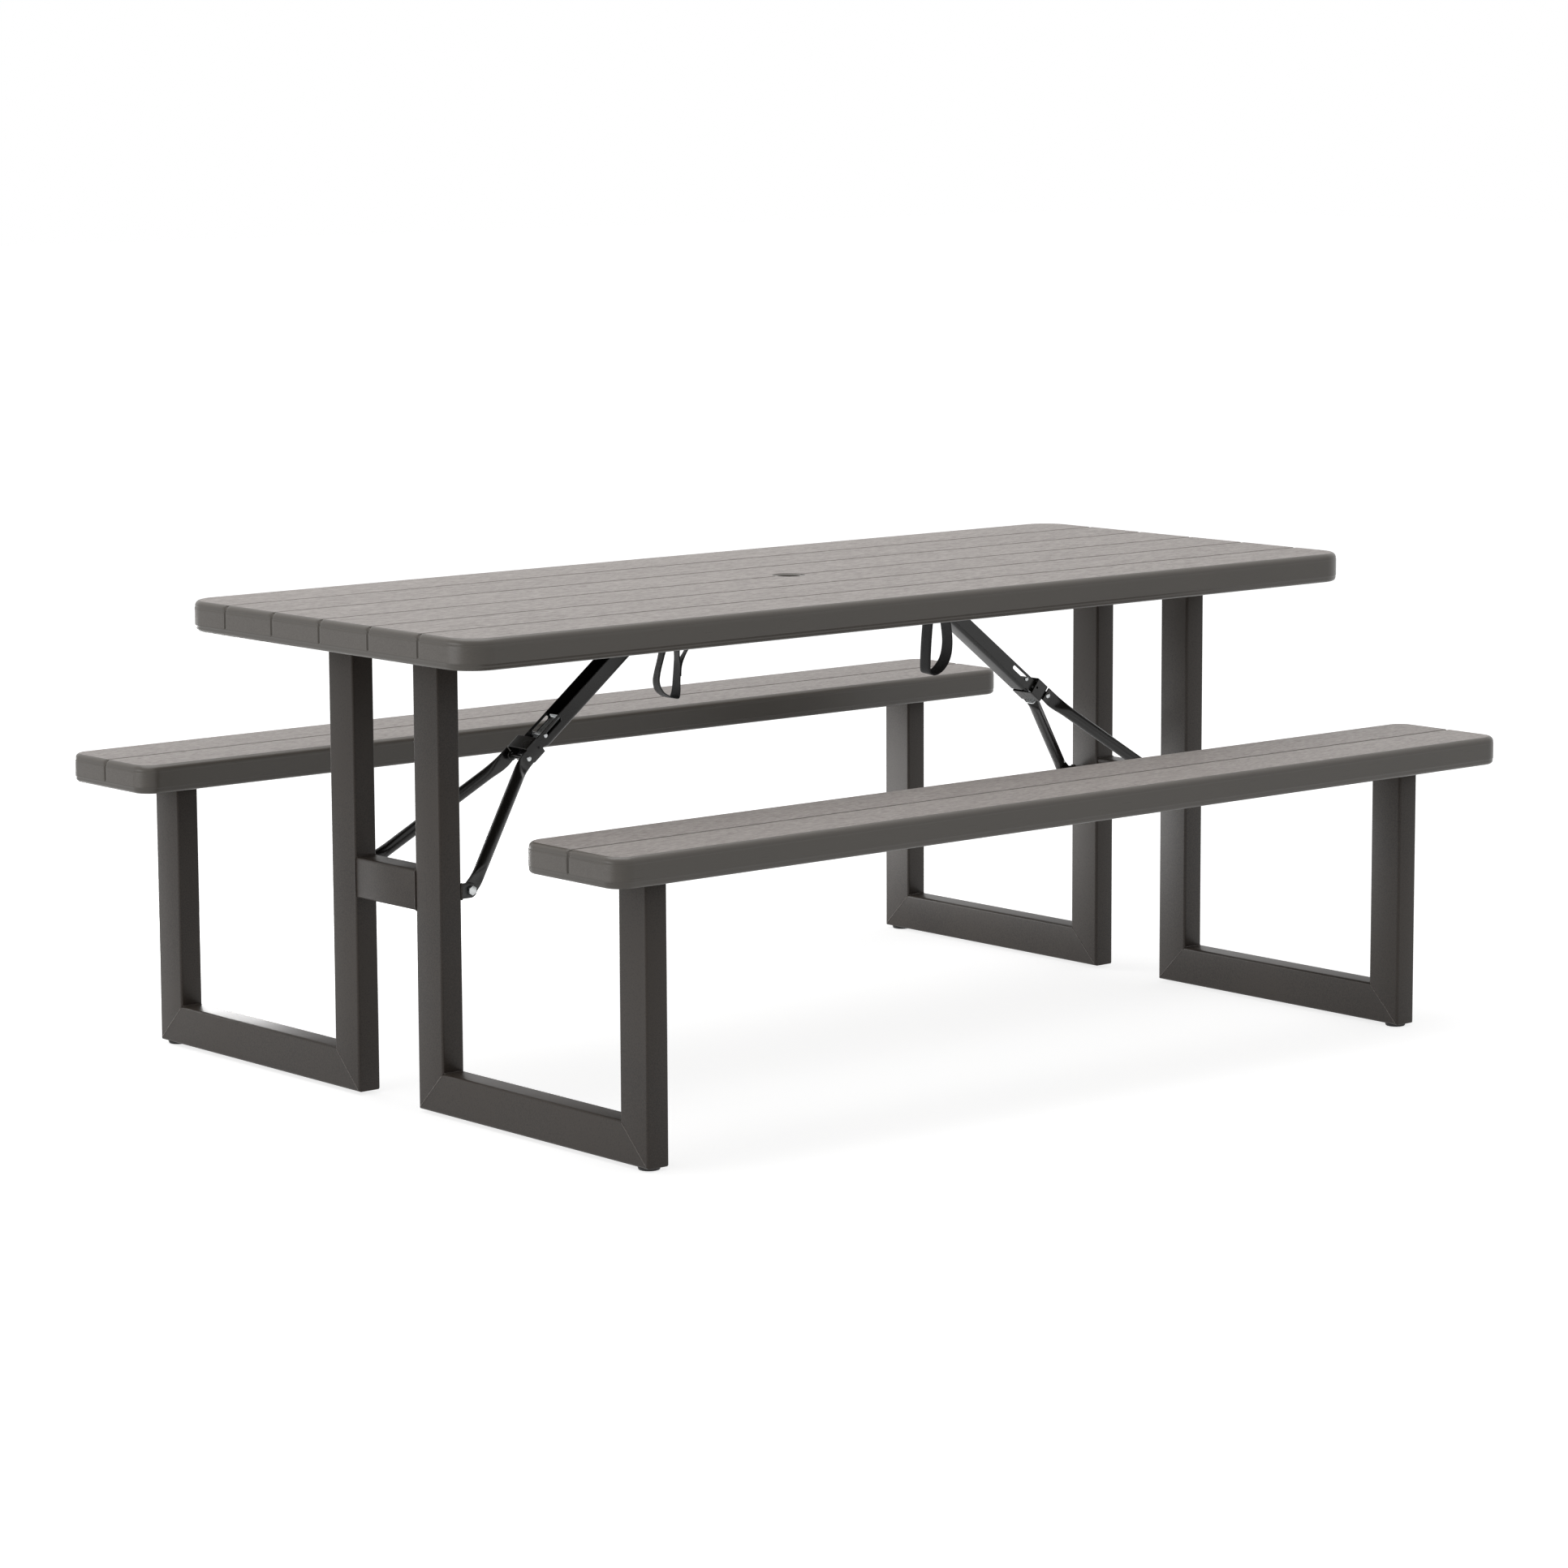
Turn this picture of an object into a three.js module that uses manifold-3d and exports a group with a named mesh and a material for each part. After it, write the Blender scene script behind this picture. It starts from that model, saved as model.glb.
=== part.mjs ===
import * as THREE from 'three';
import { mergeVertices } from 'three/addons/utils/BufferGeometryUtils.js';
import Module from 'manifold-3d';

// Folding picnic table with two attached benches on W-shaped steel end frames.
// X runs along the table, Y across it, Z up from the floor. The near side is -Y, the left end is -X.

// Table top and benches: blow-moulded plank panels with a turned-down rim.
const PANEL_LENGTH = 1829;
const PANEL_THICK = 22;
const EDGE_ROUND = 9;
const TOP_WIDTH = 730;
const TOP_HEIGHT = 747.2;
const TOP_RIM = 47;
const TOP_CORNER = 53;
const TOP_WALL = 28;
const PLANK_PITCH = 123.2;
const TOP_GROOVES = 5;
const BENCH_WIDTH = 222;
const BENCH_HEIGHT = 474;
const BENCH_RIM = 45;
const BENCH_CORNER = 32;
const BENCH_WALL = 18;
const GROOVE_WIDTH = 3.6;
const GROOVE_DEPTH = 2.6;
const GROOVE_STOP = 11;
const POLE_HOLE_R = 18;
const POLE_RING_R = 26;
const POLE_RING_DEPTH = 1.5;

// End frames: mitred rectangular steel tube.
const TUBE_DEPTH = 40;
const TUBE_WIDTH = 62.4;
const TUBE_WALL = 2;
const TUBE_CORNER = 4.2;
const FRAME_X = -781.15;
const LEG_Y = -107.7;
const POST_Y = -593.3;
const FOOT_HEIGHT = 5;
const FOOT_R = 17;
const FOOT_TAPER = 1.5;
const FOOT_Y = -603;
const CROSS_LOW = 306.9;

// Fold pivots: the same drop below table top and bench top keeps all three flush when folded.
const PIVOT_X = -731.93;
const PIVOT_DROP = 32.2;
const TOP_ROD_R = 6;
const TOP_ROD_LENGTH = 380;
const SADDLE_Y = 172;
const SADDLE_WIDTH = 24;
const SADDLE_LENGTH = 26;
const SADDLE_LIP = 5;
const ARM_THICK = 4;
const ARM_SPACING = 48;
const ARM_GUSSET = 10;
const LEG_ARM_R = 9.5;
const POST_ARM_R = 7.9;

// Bench axles and the track they roll in.
const AXLE_R = 4;
const AXLE_LENGTH = 92;
const ROLLER_R = 7.5;
const ROLLER_WIDTH = 10;
const TRACK_LENGTH = 1680;
const TRACK_WIDTH = 100;
const TRACK_SHEET = 1.5;
const TRACK_LIP = 16;
const TRACK_DEPTH = 19.5;

// Folding brace: a channel, a lock sleeve and two struts, nearly in one line when open.
const EAR_X = -742.8;
const EAR_Z = 339;
const MID_X = -546.6;
const MID_Z = 506.4;
const EAR_HEIGHT = 23;
const EAR_OUTER = 137.4;
const EAR_THICK = 4;
const BOLT_R = 4;
const BOLT_HEAD_R = 7.5;
const BOLT_HEAD = 5;
const HEX_SIDES = 6;
const CHANNEL_ANGLE = 37.93;
const CHANNEL_ROD_U = 326.9;
const CHANNEL_ROD_V = -3;
const CHANNEL_HIGH = 7.8;
const CHANNEL_LOW = -18.6;
const CHANNEL_NECK_LOW = -12;
const CHANNEL_HALF_WIDTH = 17.2;
const CHANNEL_SHEET = 2;
const CHANNEL_FLARE = 12;
const WEB_START = 44;
const WEB_STOP = 18;
const SLOT_START = 50.5;
const SLOT_TRAVEL = 35;
const SLOT_R = 3.4;
const SLOT_V = 0;
const MID_PIN_R = 4;
const MID_PIN_HALF = 23.3;
const SLEEVE_START = 6.3;
const SLEEVE_LENGTH = 25.6;
const SLEEVE_HALF_WIDTH = 23.4;
const SLEEVE_HALF_DEPTH = 15;
const SLEEVE_V = -1;
const SLEEVE_SHEET = 1.6;
const PLATE_START = 4.6;
const PLATE_END = 92;
const PLATE_HALF_WIDTH = 11;
const PLATE_SHEET = 1.5;
const PLATE_LOW = -3;
const PLATE_TAB_LOW = -21.5;
const PLATE_STOP_HIGH = 4;
const GUIDE_PIN_R = 3;
const GUIDE_HEAD_R = 4.2;
const GUIDE_HEAD = 1.8;
const STRUT_R = 9.6;
const STRUT_EYE_THICK = 3;
const STRUT_EYE_INNER = 23.7;
const STRUT_EYE_OUTER = 133.1;
const STRUT_EYE_R = 9.2;
const STRUT_EYE_TOP = 5.6;
const STRUT_EYE_LENGTH = 36;
const STRUT_CRIMP_START = 10;
const STRUT_CRIMP_SLOPE = 0.95;
const BRACE_ROD_LENGTH = 224;
const BRACE_SADDLE_Y = 98;

// Storage straps looped over the brace rods, each where it has slid to along its rod.
const STRAP_WIDTH = 25;
const STRAP_THICK = 1.8;
const LEFT_STRAP_Y = -50;
const RIGHT_STRAP_Y = -34;
const STRAP_TOP_R = 7;
const STRAP_BOTTOM_R = 23;
const LEFT_STRAP_DROP = 104;
const RIGHT_STRAP_DROP = 117;

// Fits and facets.
const GAP = 0.3;
const RUN = 0.3;
const OVER = 2;
const SINK = 0.5;
const HALF = 0.5;
const ARC = 7;
const ROUND = 18;
const EDGE_STEPS = 3;
const WELD_TOL = 1e-4;

const wasm = await Module();
wasm.setup();

const group = new THREE.Group();
group.name = 'folding_picnic_table';

const PLASTIC = { color: 0x6e675f, roughness: 0.6, metalness: 0 };
const COATED = { color: 0x4a4543, roughness: 0.5, metalness: 0.2 };
const BLACK = { color: 0x1e1e1f, roughness: 0.45, metalness: 0.2 };
const ZINC = { color: 0xc4c7c9, roughness: 0.3, metalness: 0.9 };
const RUBBER = { color: 0x17171a, roughness: 0.8, metalness: 0 };
const WEBBING = { color: 0x121214, roughness: 0.9, metalness: 0 };

function solidOf(geometry) {
  const plain = geometry.clone();
  plain.deleteAttribute('normal');
  plain.deleteAttribute('uv');
  const welded = mergeVertices(plain, WELD_TOL);
  const mesh = new wasm.Mesh({
    numProp: 3,
    vertProperties: new Float32Array(welded.attributes.position.array),
    triVerts: new Uint32Array(welded.index.array),
  });
  return new wasm.Manifold(mesh);
}

function addPiece(name, solid, finish) {
  const data = solid.getMesh();
  const geometry = new THREE.BufferGeometry();
  geometry.setAttribute('position', new THREE.BufferAttribute(new Float32Array(data.vertProperties), 3));
  geometry.setIndex(new THREE.BufferAttribute(new Uint32Array(data.triVerts), 1));
  const mesh = new THREE.Mesh(geometry, new THREE.MeshStandardMaterial(finish));
  mesh.name = name;
  group.add(mesh);
}

// The far pieces mirror the near ones and the right pieces mirror the left ones.
function addFour(name, solid, finish) {
  const far = solid.mirror([0, 1, 0]);
  addPiece(`left_near_${name}`, solid, finish);
  addPiece(`left_far_${name}`, far, finish);
  addPiece(`right_near_${name}`, solid.mirror([1, 0, 0]), finish);
  addPiece(`right_far_${name}`, far.mirror([1, 0, 0]), finish);
}

function addEnds(name, solid, finish) {
  addPiece(`left_${name}`, solid, finish);
  addPiece(`right_${name}`, solid.mirror([1, 0, 0]), finish);
}

function roundedRect(length, width, radius) {
  const x = length * HALF - radius;
  const y = width * HALF - radius;
  const quarter = Math.PI * HALF;
  const shape = new THREE.Shape();
  shape.absarc(x, -y, radius, -quarter, 0);
  shape.absarc(x, y, radius, 0, quarter);
  shape.absarc(-x, y, radius, quarter, Math.PI);
  shape.absarc(-x, -y, radius, Math.PI, Math.PI + quarter);
  return shape;
}

function circleHole(x, y, radius) {
  const hole = new THREE.Path();
  hole.absarc(x, y, radius, 0, Math.PI * 2, true);
  return hole;
}

// A plate cut to an outline in the XZ plane, between two Y faces.
function plateXZ(shape, yLow, yHigh) {
  const options = { depth: yHigh - yLow, bevelEnabled: false, curveSegments: ARC };
  const geometry = new THREE.ExtrudeGeometry(shape, options);
  geometry.rotateX(Math.PI * HALF);
  geometry.translate(0, yHigh, 0);
  return solidOf(geometry);
}

function block(x0, x1, y0, y1, z0, z1) {
  const geometry = new THREE.BoxGeometry(x1 - x0, y1 - y0, z1 - z0);
  geometry.translate((x0 + x1) * HALF, (y0 + y1) * HALF, (z0 + z1) * HALF);
  return solidOf(geometry);
}

function rodAlongY(x, z, radius, y0, y1) {
  const geometry = new THREE.CylinderGeometry(radius, radius, y1 - y0, ROUND);
  geometry.translate(x, (y0 + y1) * HALF, z);
  return solidOf(geometry);
}

function rodAlongZ(x, y, radius, z0, z1) {
  const geometry = new THREE.CylinderGeometry(radius, radius, z1 - z0, ROUND);
  geometry.rotateX(Math.PI * HALF);
  geometry.translate(x, y, (z0 + z1) * HALF);
  return solidOf(geometry);
}

// Panels: a slab with rounded edges, grooved on top and down both ends, hollowed from below.
function roundedSlab(width, corner, bottom, top, inset) {
  const trim = EDGE_ROUND + inset;
  const shape = roundedRect(PANEL_LENGTH - 2 * trim, width - 2 * trim, corner - trim);
  const geometry = new THREE.ExtrudeGeometry(shape, {
    depth: top - bottom - inset - 2 * EDGE_ROUND,
    bevelEnabled: true,
    bevelThickness: EDGE_ROUND,
    bevelSize: EDGE_ROUND,
    bevelSegments: EDGE_STEPS,
    curveSegments: ARC,
  });
  geometry.translate(0, 0, bottom + EDGE_ROUND);
  return solidOf(geometry);
}

function plankPanel(width, corner, wall, rim, top, grooves) {
  const bottom = top - rim;
  const under = top - PANEL_THICK;
  const core = roundedSlab(width, corner, bottom, top, GROOVE_DEPTH);
  let panel = roundedSlab(width, corner, bottom, top, 0);
  const reach = PANEL_LENGTH * HALF + OVER;
  for (let i = 0; i < grooves; i += 1) {
    const y = (i - (grooves - 1) * HALF) * PLANK_PITCH;
    const half = GROOVE_WIDTH * HALF;
    const slab = block(-reach, reach, y - half, y + half, bottom + GROOVE_STOP, top + OVER);
    panel = panel.subtract(slab.subtract(core));
  }
  const shape = roundedRect(PANEL_LENGTH - 2 * wall, width - 2 * wall, corner - wall * HALF);
  const options = { depth: under - bottom + OVER, bevelEnabled: false, curveSegments: ARC };
  const recess = new THREE.ExtrudeGeometry(shape, options);
  recess.translate(0, 0, bottom - OVER);
  return panel.subtract(solidOf(recess));
}

const topUnder = TOP_HEIGHT - PANEL_THICK;
const benchUnder = BENCH_HEIGHT - PANEL_THICK;
const topPivotZ = TOP_HEIGHT - PIVOT_DROP;
const benchPivotZ = BENCH_HEIGHT - PIVOT_DROP;

// Brace geometry: the channel runs from the mid pivot up to the brace rod. The rod stands where channel
// and struts still meet when the frame lies flat under the top and both are folded back on each other.
const strutLength = Math.hypot(MID_X - EAR_X, MID_Z - EAR_Z);
const strutAngle = Math.atan2(MID_Z - EAR_Z, MID_X - EAR_X);
const channelAngle = THREE.MathUtils.degToRad(CHANNEL_ANGLE);
const alongX = Math.cos(channelAngle);
const alongZ = Math.sin(channelAngle);
const braceRodX = MID_X + CHANNEL_ROD_U * alongX - CHANNEL_ROD_V * alongZ;
const braceRodZ = MID_Z + CHANNEL_ROD_U * alongZ + CHANNEL_ROD_V * alongX;

// Table top with moulded saddles that carry the hinge rods and the brace rods.
function saddle(x, y, z) {
  const halfX = SADDLE_LENGTH * HALF;
  const halfY = SADDLE_WIDTH * HALF;
  return block(x - halfX, x + halfX, y - halfY, y + halfY, z - TOP_ROD_R - SADDLE_LIP, topUnder + SINK);
}

let tableTop = plankPanel(TOP_WIDTH, TOP_CORNER, TOP_WALL, TOP_RIM, TOP_HEIGHT, TOP_GROOVES);
for (const side of [-1, 1]) {
  for (const end of [-1, 1]) {
    tableTop = tableTop.add(saddle(end * PIVOT_X, side * SADDLE_Y, topPivotZ));
    tableTop = tableTop.add(saddle(end * braceRodX, side * BRACE_SADDLE_Y, braceRodZ));
  }
}
for (const end of [-1, 1]) {
  const reach = TOP_ROD_LENGTH * HALF;
  tableTop = tableTop.subtract(rodAlongY(end * PIVOT_X, topPivotZ, TOP_ROD_R + GAP, -reach, reach));
  tableTop = tableTop.subtract(rodAlongY(end * braceRodX, braceRodZ, TOP_ROD_R + GAP, -reach, reach));
}
const ringFloor = TOP_HEIGHT - POLE_RING_DEPTH;
tableTop = tableTop.subtract(rodAlongZ(0, 0, POLE_RING_R, ringFloor, TOP_HEIGHT + OVER));
tableTop = tableTop.subtract(rodAlongZ(0, 0, POLE_HOLE_R, topUnder - OVER, TOP_HEIGHT + OVER));
addPiece('table_top', tableTop, PLASTIC);

const rodHalf = TOP_ROD_LENGTH * HALF;
const braceRodHalf = BRACE_ROD_LENGTH * HALF;
addEnds('hinge_rod', rodAlongY(PIVOT_X, topPivotZ, TOP_ROD_R, -rodHalf, rodHalf), COATED);
addEnds('brace_rod', rodAlongY(braceRodX, braceRodZ, TOP_ROD_R, -braceRodHalf, braceRodHalf), BLACK);

// Storage straps: a flat webbing loop that hangs from each brace rod.
function teardrop(topR, bottomR, drop) {
  const lean = Math.asin((bottomR - topR) / drop);
  const shape = new THREE.Shape();
  shape.absarc(0, 0, topR, lean, Math.PI - lean);
  shape.absarc(0, -drop, bottomR, Math.PI - lean, Math.PI * 2 + lean);
  return shape;
}

function strapLoop(drop) {
  const outer = teardrop(STRAP_TOP_R + STRAP_THICK, STRAP_BOTTOM_R + STRAP_THICK, drop);
  const inner = teardrop(STRAP_TOP_R, STRAP_BOTTOM_R, drop);
  const hole = plateXZ(inner, -STRAP_WIDTH, STRAP_WIDTH);
  return plateXZ(outer, -STRAP_WIDTH * HALF, STRAP_WIDTH * HALF).subtract(hole);
}

const leftStrap = strapLoop(LEFT_STRAP_DROP).translate([braceRodX, LEFT_STRAP_Y, braceRodZ]);
const rightStrap = strapLoop(RIGHT_STRAP_DROP).translate([-braceRodX, RIGHT_STRAP_Y, braceRodZ]);
addPiece('left_strap', leftStrap, WEBBING);
addPiece('right_strap', rightStrap, WEBBING);

// End frame tubes: legs, bottom rails and bench posts mitred at 45 degrees, and a cross bar.
function tubeShape() {
  const shape = roundedRect(TUBE_DEPTH, TUBE_WIDTH, TUBE_CORNER);
  const bore = roundedRect(TUBE_DEPTH - 2 * TUBE_WALL, TUBE_WIDTH - 2 * TUBE_WALL, TUBE_CORNER - TUBE_WALL);
  shape.holes.push(new THREE.Path(bore.getPoints(EDGE_STEPS).reverse()));
  return shape;
}

function tubeAlongZ(y, z0, z1) {
  const options = { depth: z1 - z0, bevelEnabled: false, curveSegments: EDGE_STEPS };
  const geometry = new THREE.ExtrudeGeometry(tubeShape(), options);
  geometry.translate(FRAME_X, y, z0);
  return solidOf(geometry);
}

function tubeAlongY(z, y0, y1) {
  const options = { depth: y1 - y0, bevelEnabled: false, curveSegments: EDGE_STEPS };
  const geometry = new THREE.ExtrudeGeometry(tubeShape(), options);
  geometry.rotateX(Math.PI * HALF);
  geometry.translate(FRAME_X, y1, z);
  return solidOf(geometry);
}

const tubeHalf = TUBE_WIDTH * HALF;
const railZ = FOOT_HEIGHT + tubeHalf;
const faceX = FRAME_X + TUBE_DEPTH * HALF;
const legTop = topUnder - GAP;
const trackWebLow = benchUnder - GAP - TRACK_SHEET;
const postTop = trackWebLow - GAP;
const mitre = Math.SQRT1_2;
const legMitre = (LEG_Y + railZ) * mitre;
const postMitre = (railZ - POST_Y) * mitre;
const halfGap = GAP * HALF;

const leg = tubeAlongZ(LEG_Y, FOOT_HEIGHT, legTop).trimByPlane([0, mitre, mitre], legMitre + halfGap);
const post = tubeAlongZ(POST_Y, FOOT_HEIGHT, postTop).trimByPlane([0, -mitre, mitre], postMitre + halfGap);
const rail = tubeAlongY(railZ, POST_Y - tubeHalf, LEG_Y + tubeHalf)
  .trimByPlane([0, -mitre, -mitre], halfGap - legMitre)
  .trimByPlane([0, mitre, -mitre], halfGap - postMitre);
addFour('leg', leg, COATED);
addFour('rail', rail, COATED);
addFour('post', post, COATED);

const crossEnd = -LEG_Y - tubeHalf - GAP;
addEnds('cross_bar', tubeAlongY(CROSS_LOW + tubeHalf, -crossEnd, crossEnd), COATED);

const footGeometry = new THREE.CylinderGeometry(FOOT_R, FOOT_R - FOOT_TAPER, FOOT_HEIGHT - GAP, ROUND);
footGeometry.rotateX(Math.PI * HALF);
footGeometry.translate(FRAME_X, FOOT_Y, (FOOT_HEIGHT - GAP) * HALF);
addFour('foot', solidOf(footGeometry), RUBBER);

// Hinge brackets: a web on the tube's inner face and two arms that reach inboard to the pivot.
function hingeBracket(y, pivotZ, armR, boreR) {
  const face = faceX + GAP;
  const quarter = Math.PI * HALF;
  const shape = new THREE.Shape();
  shape.moveTo(face, pivotZ + armR);
  shape.lineTo(face, pivotZ - armR - ARM_GUSSET);
  shape.lineTo(face + ARM_GUSSET, pivotZ - armR);
  shape.absarc(PIVOT_X, pivotZ, armR, -quarter, quarter);
  shape.holes.push(circleHole(PIVOT_X, pivotZ, boreR));
  const half = ARM_SPACING * HALF;
  const low = pivotZ - armR - ARM_GUSSET;
  const web = block(face, face + ARM_THICK, y - half, y + half, low, pivotZ + armR);
  const first = plateXZ(shape, y - half, y - half + ARM_THICK);
  const second = plateXZ(shape, y + half - ARM_THICK, y + half);
  return web.add(first).add(second);
}

addFour('leg_bracket', hingeBracket(LEG_Y, topPivotZ, LEG_ARM_R, TOP_ROD_R + RUN), COATED);
addFour('post_bracket', hingeBracket(POST_Y, benchPivotZ, POST_ARM_R, AXLE_R + RUN), COATED);

// Bench axles: a pin through the post bracket with a roller on each end.
const axleLow = POST_Y - AXLE_LENGTH * HALF;
const axleHigh = POST_Y + AXLE_LENGTH * HALF;
const axle = rodAlongY(PIVOT_X, benchPivotZ, AXLE_R, axleLow, axleHigh);
const rollerLow = rodAlongY(PIVOT_X, benchPivotZ, ROLLER_R, axleLow, axleLow + ROLLER_WIDTH);
const rollerHigh = rodAlongY(PIVOT_X, benchPivotZ, ROLLER_R, axleHigh - ROLLER_WIDTH, axleHigh);
addFour('axle', axle.add(rollerLow).add(rollerHigh), ZINC);

// Benches: two planks each, with a lipped steel track under the panel.
const bench = plankPanel(BENCH_WIDTH, BENCH_CORNER, BENCH_WALL, BENCH_RIM, BENCH_HEIGHT, 1);
const benchNear = bench.translate([0, POST_Y, 0]);
addPiece('bench_near', benchNear, PLASTIC);
addPiece('bench_far', benchNear.mirror([0, 1, 0]), PLASTIC);

const trackTop = benchUnder - GAP;
const trackLow = trackTop - TRACK_DEPTH;
function trackBlock(length, width, low, high) {
  const endX = length * HALF;
  const side = width * HALF;
  return block(-endX, endX, POST_Y - side, POST_Y + side, low, high);
}

const trackOuter = trackBlock(TRACK_LENGTH, TRACK_WIDTH, trackLow, trackTop);
const coreWidth = TRACK_WIDTH - 2 * TRACK_SHEET;
const trackCore = trackBlock(PANEL_LENGTH, coreWidth, trackLow + TRACK_SHEET, trackWebLow);
const trackMouth = trackBlock(PANEL_LENGTH, TRACK_WIDTH - 2 * TRACK_LIP, trackLow - OVER, trackWebLow);
const track = trackOuter.subtract(trackCore).subtract(trackMouth);
addPiece('bench_track_near', track, COATED);
addPiece('bench_track_far', track.mirror([0, 1, 0]), COATED);

// Brace ears on the legs, with a hex bolt in each.
const earShape = new THREE.Shape();
earShape.moveTo(faceX + GAP, EAR_Z + EAR_HEIGHT * HALF);
earShape.lineTo(faceX + GAP, EAR_Z - EAR_HEIGHT * HALF);
earShape.absarc(EAR_X, EAR_Z, EAR_HEIGHT * HALF, -Math.PI * HALF, Math.PI * HALF);
earShape.holes.push(circleHole(EAR_X, EAR_Z, BOLT_R + RUN));
addFour('ear', plateXZ(earShape, -EAR_OUTER, EAR_THICK - EAR_OUTER), BLACK);

const boltShank = rodAlongY(EAR_X, EAR_Z, BOLT_R, -EAR_OUTER - GAP - SINK, EAR_THICK - EAR_OUTER);
const boltGeometry = new THREE.CylinderGeometry(BOLT_HEAD_R, BOLT_HEAD_R, BOLT_HEAD, HEX_SIDES);
boltGeometry.translate(EAR_X, -EAR_OUTER - GAP - BOLT_HEAD * HALF, EAR_Z);
addFour('ear_bolt', boltShank.add(solidOf(boltGeometry)), ZINC);

// Brace pieces are drawn along the brace: x from the mid pivot up to the brace rod, z across it.
function placeBrace(solid, angle) {
  return solid.rotate([0, -THREE.MathUtils.radToDeg(angle), 0]).translate([MID_X, 0, MID_Z]);
}

// Channel: two flanges with a guide slot, joined by a web that starts above the lock and, at the foot,
// by the pivot pin riveted through them.
const flange = new THREE.Shape();
const quarterTurn = Math.PI * HALF;
const rodEndV = (CHANNEL_HIGH + CHANNEL_LOW) * HALF;
const rodEndR = (CHANNEL_HIGH - CHANNEL_LOW) * HALF;
flange.absarc(0, 0, CHANNEL_HIGH, quarterTurn, Math.PI + quarterTurn);
flange.lineTo(CHANNEL_FLARE, CHANNEL_NECK_LOW);
flange.lineTo(WEB_START, CHANNEL_NECK_LOW);
flange.lineTo(WEB_START, CHANNEL_LOW);
flange.absarc(CHANNEL_ROD_U, rodEndV, rodEndR, -quarterTurn, quarterTurn);
flange.holes.push(circleHole(CHANNEL_ROD_U, CHANNEL_ROD_V, TOP_ROD_R + RUN));
const slot = new THREE.Path();
slot.absarc(SLOT_START, SLOT_V, SLOT_R, -quarterTurn, quarterTurn, true);
slot.absarc(SLOT_START + SLOT_TRAVEL, SLOT_V, SLOT_R, quarterTurn, -quarterTurn, true);
flange.holes.push(slot);
const flangeIn = CHANNEL_HALF_WIDTH - CHANNEL_SHEET;
const webEnd = CHANNEL_ROD_U - WEB_STOP;
const webHigh = CHANNEL_LOW + CHANNEL_SHEET;
const channelWeb = block(
  WEB_START, webEnd, -CHANNEL_HALF_WIDTH, CHANNEL_HALF_WIDTH, CHANNEL_LOW, webHigh);
const channel = plateXZ(flange, -CHANNEL_HALF_WIDTH, -flangeIn)
  .add(plateXZ(flange, flangeIn, CHANNEL_HALF_WIDTH))
  .add(channelWeb)
  .add(rodAlongY(0, 0, MID_PIN_R, -MID_PIN_HALF, MID_PIN_HALF));
addEnds('brace_channel', placeBrace(channel, channelAngle), BLACK);

// Lock sleeve: a rectangular ring that slides on the channel.
const sleeveEnd = SLEEVE_START + SLEEVE_LENGTH;
const sleeveLow = SLEEVE_V - SLEEVE_HALF_DEPTH;
const sleeveHigh = SLEEVE_V + SLEEVE_HALF_DEPTH;
const ringOuter = block(
  SLEEVE_START, sleeveEnd, -SLEEVE_HALF_WIDTH, SLEEVE_HALF_WIDTH, sleeveLow, sleeveHigh);
const sleeveInY = SLEEVE_HALF_WIDTH - SLEEVE_SHEET;
const ringBore = block(
  0, sleeveEnd + OVER, -sleeveInY, sleeveInY, sleeveLow + SLEEVE_SHEET, sleeveHigh - SLEEVE_SHEET);
addEnds('lock_sleeve', placeBrace(ringOuter.subtract(ringBore), channelAngle), BLACK);

// Lock plate: a strip inside the channel that moves with the sleeve. Its foot is a finger tab, its head
// a stop, and the guide pin through it runs in the channel's slots.
function plateBlock(u0, u1, low, high) {
  return block(u0, u1, -PLATE_HALF_WIDTH, PLATE_HALF_WIDTH, low, high);
}

const plateHigh = PLATE_LOW + PLATE_SHEET;
const plateStrip = plateBlock(PLATE_START, PLATE_END, PLATE_LOW, plateHigh);
const plateTab = plateBlock(PLATE_START, PLATE_START + PLATE_SHEET, PLATE_TAB_LOW, plateHigh);
const plateStop = plateBlock(PLATE_END - PLATE_SHEET, PLATE_END, PLATE_LOW, PLATE_STOP_HIGH);
const headIn = CHANNEL_HALF_WIDTH + GAP;
const headOut = headIn + GUIDE_HEAD;
const guidePin = rodAlongY(SLOT_START, SLOT_V, GUIDE_PIN_R, -headOut, headOut);
const nearHead = rodAlongY(SLOT_START, SLOT_V, GUIDE_HEAD_R, -headOut, -headIn);
const farHead = rodAlongY(SLOT_START, SLOT_V, GUIDE_HEAD_R, headIn, headOut);
const lockPlate = plateStrip.add(plateTab).add(plateStop).add(guidePin).add(nearHead).add(farHead);
addEnds('lock_plate', placeBrace(lockPlate, channelAngle), ZINC);

// Struts: round tubes crimped flat at both ends, spreading from the mid pivot to the ears.
// The upper eye is cut short below the lock sleeve.
function eye(x0, x1, centre, radius, y0, y1) {
  const shape = new THREE.Shape();
  const far = centre === x0 ? x1 : x0;
  const turn = centre > far ? 0 : Math.PI;
  shape.moveTo(far, radius * Math.cos(turn));
  shape.lineTo(far, -radius * Math.cos(turn));
  shape.absarc(centre, 0, radius, turn - quarterTurn, turn + quarterTurn);
  return plateXZ(shape, y0, y1);
}

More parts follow.
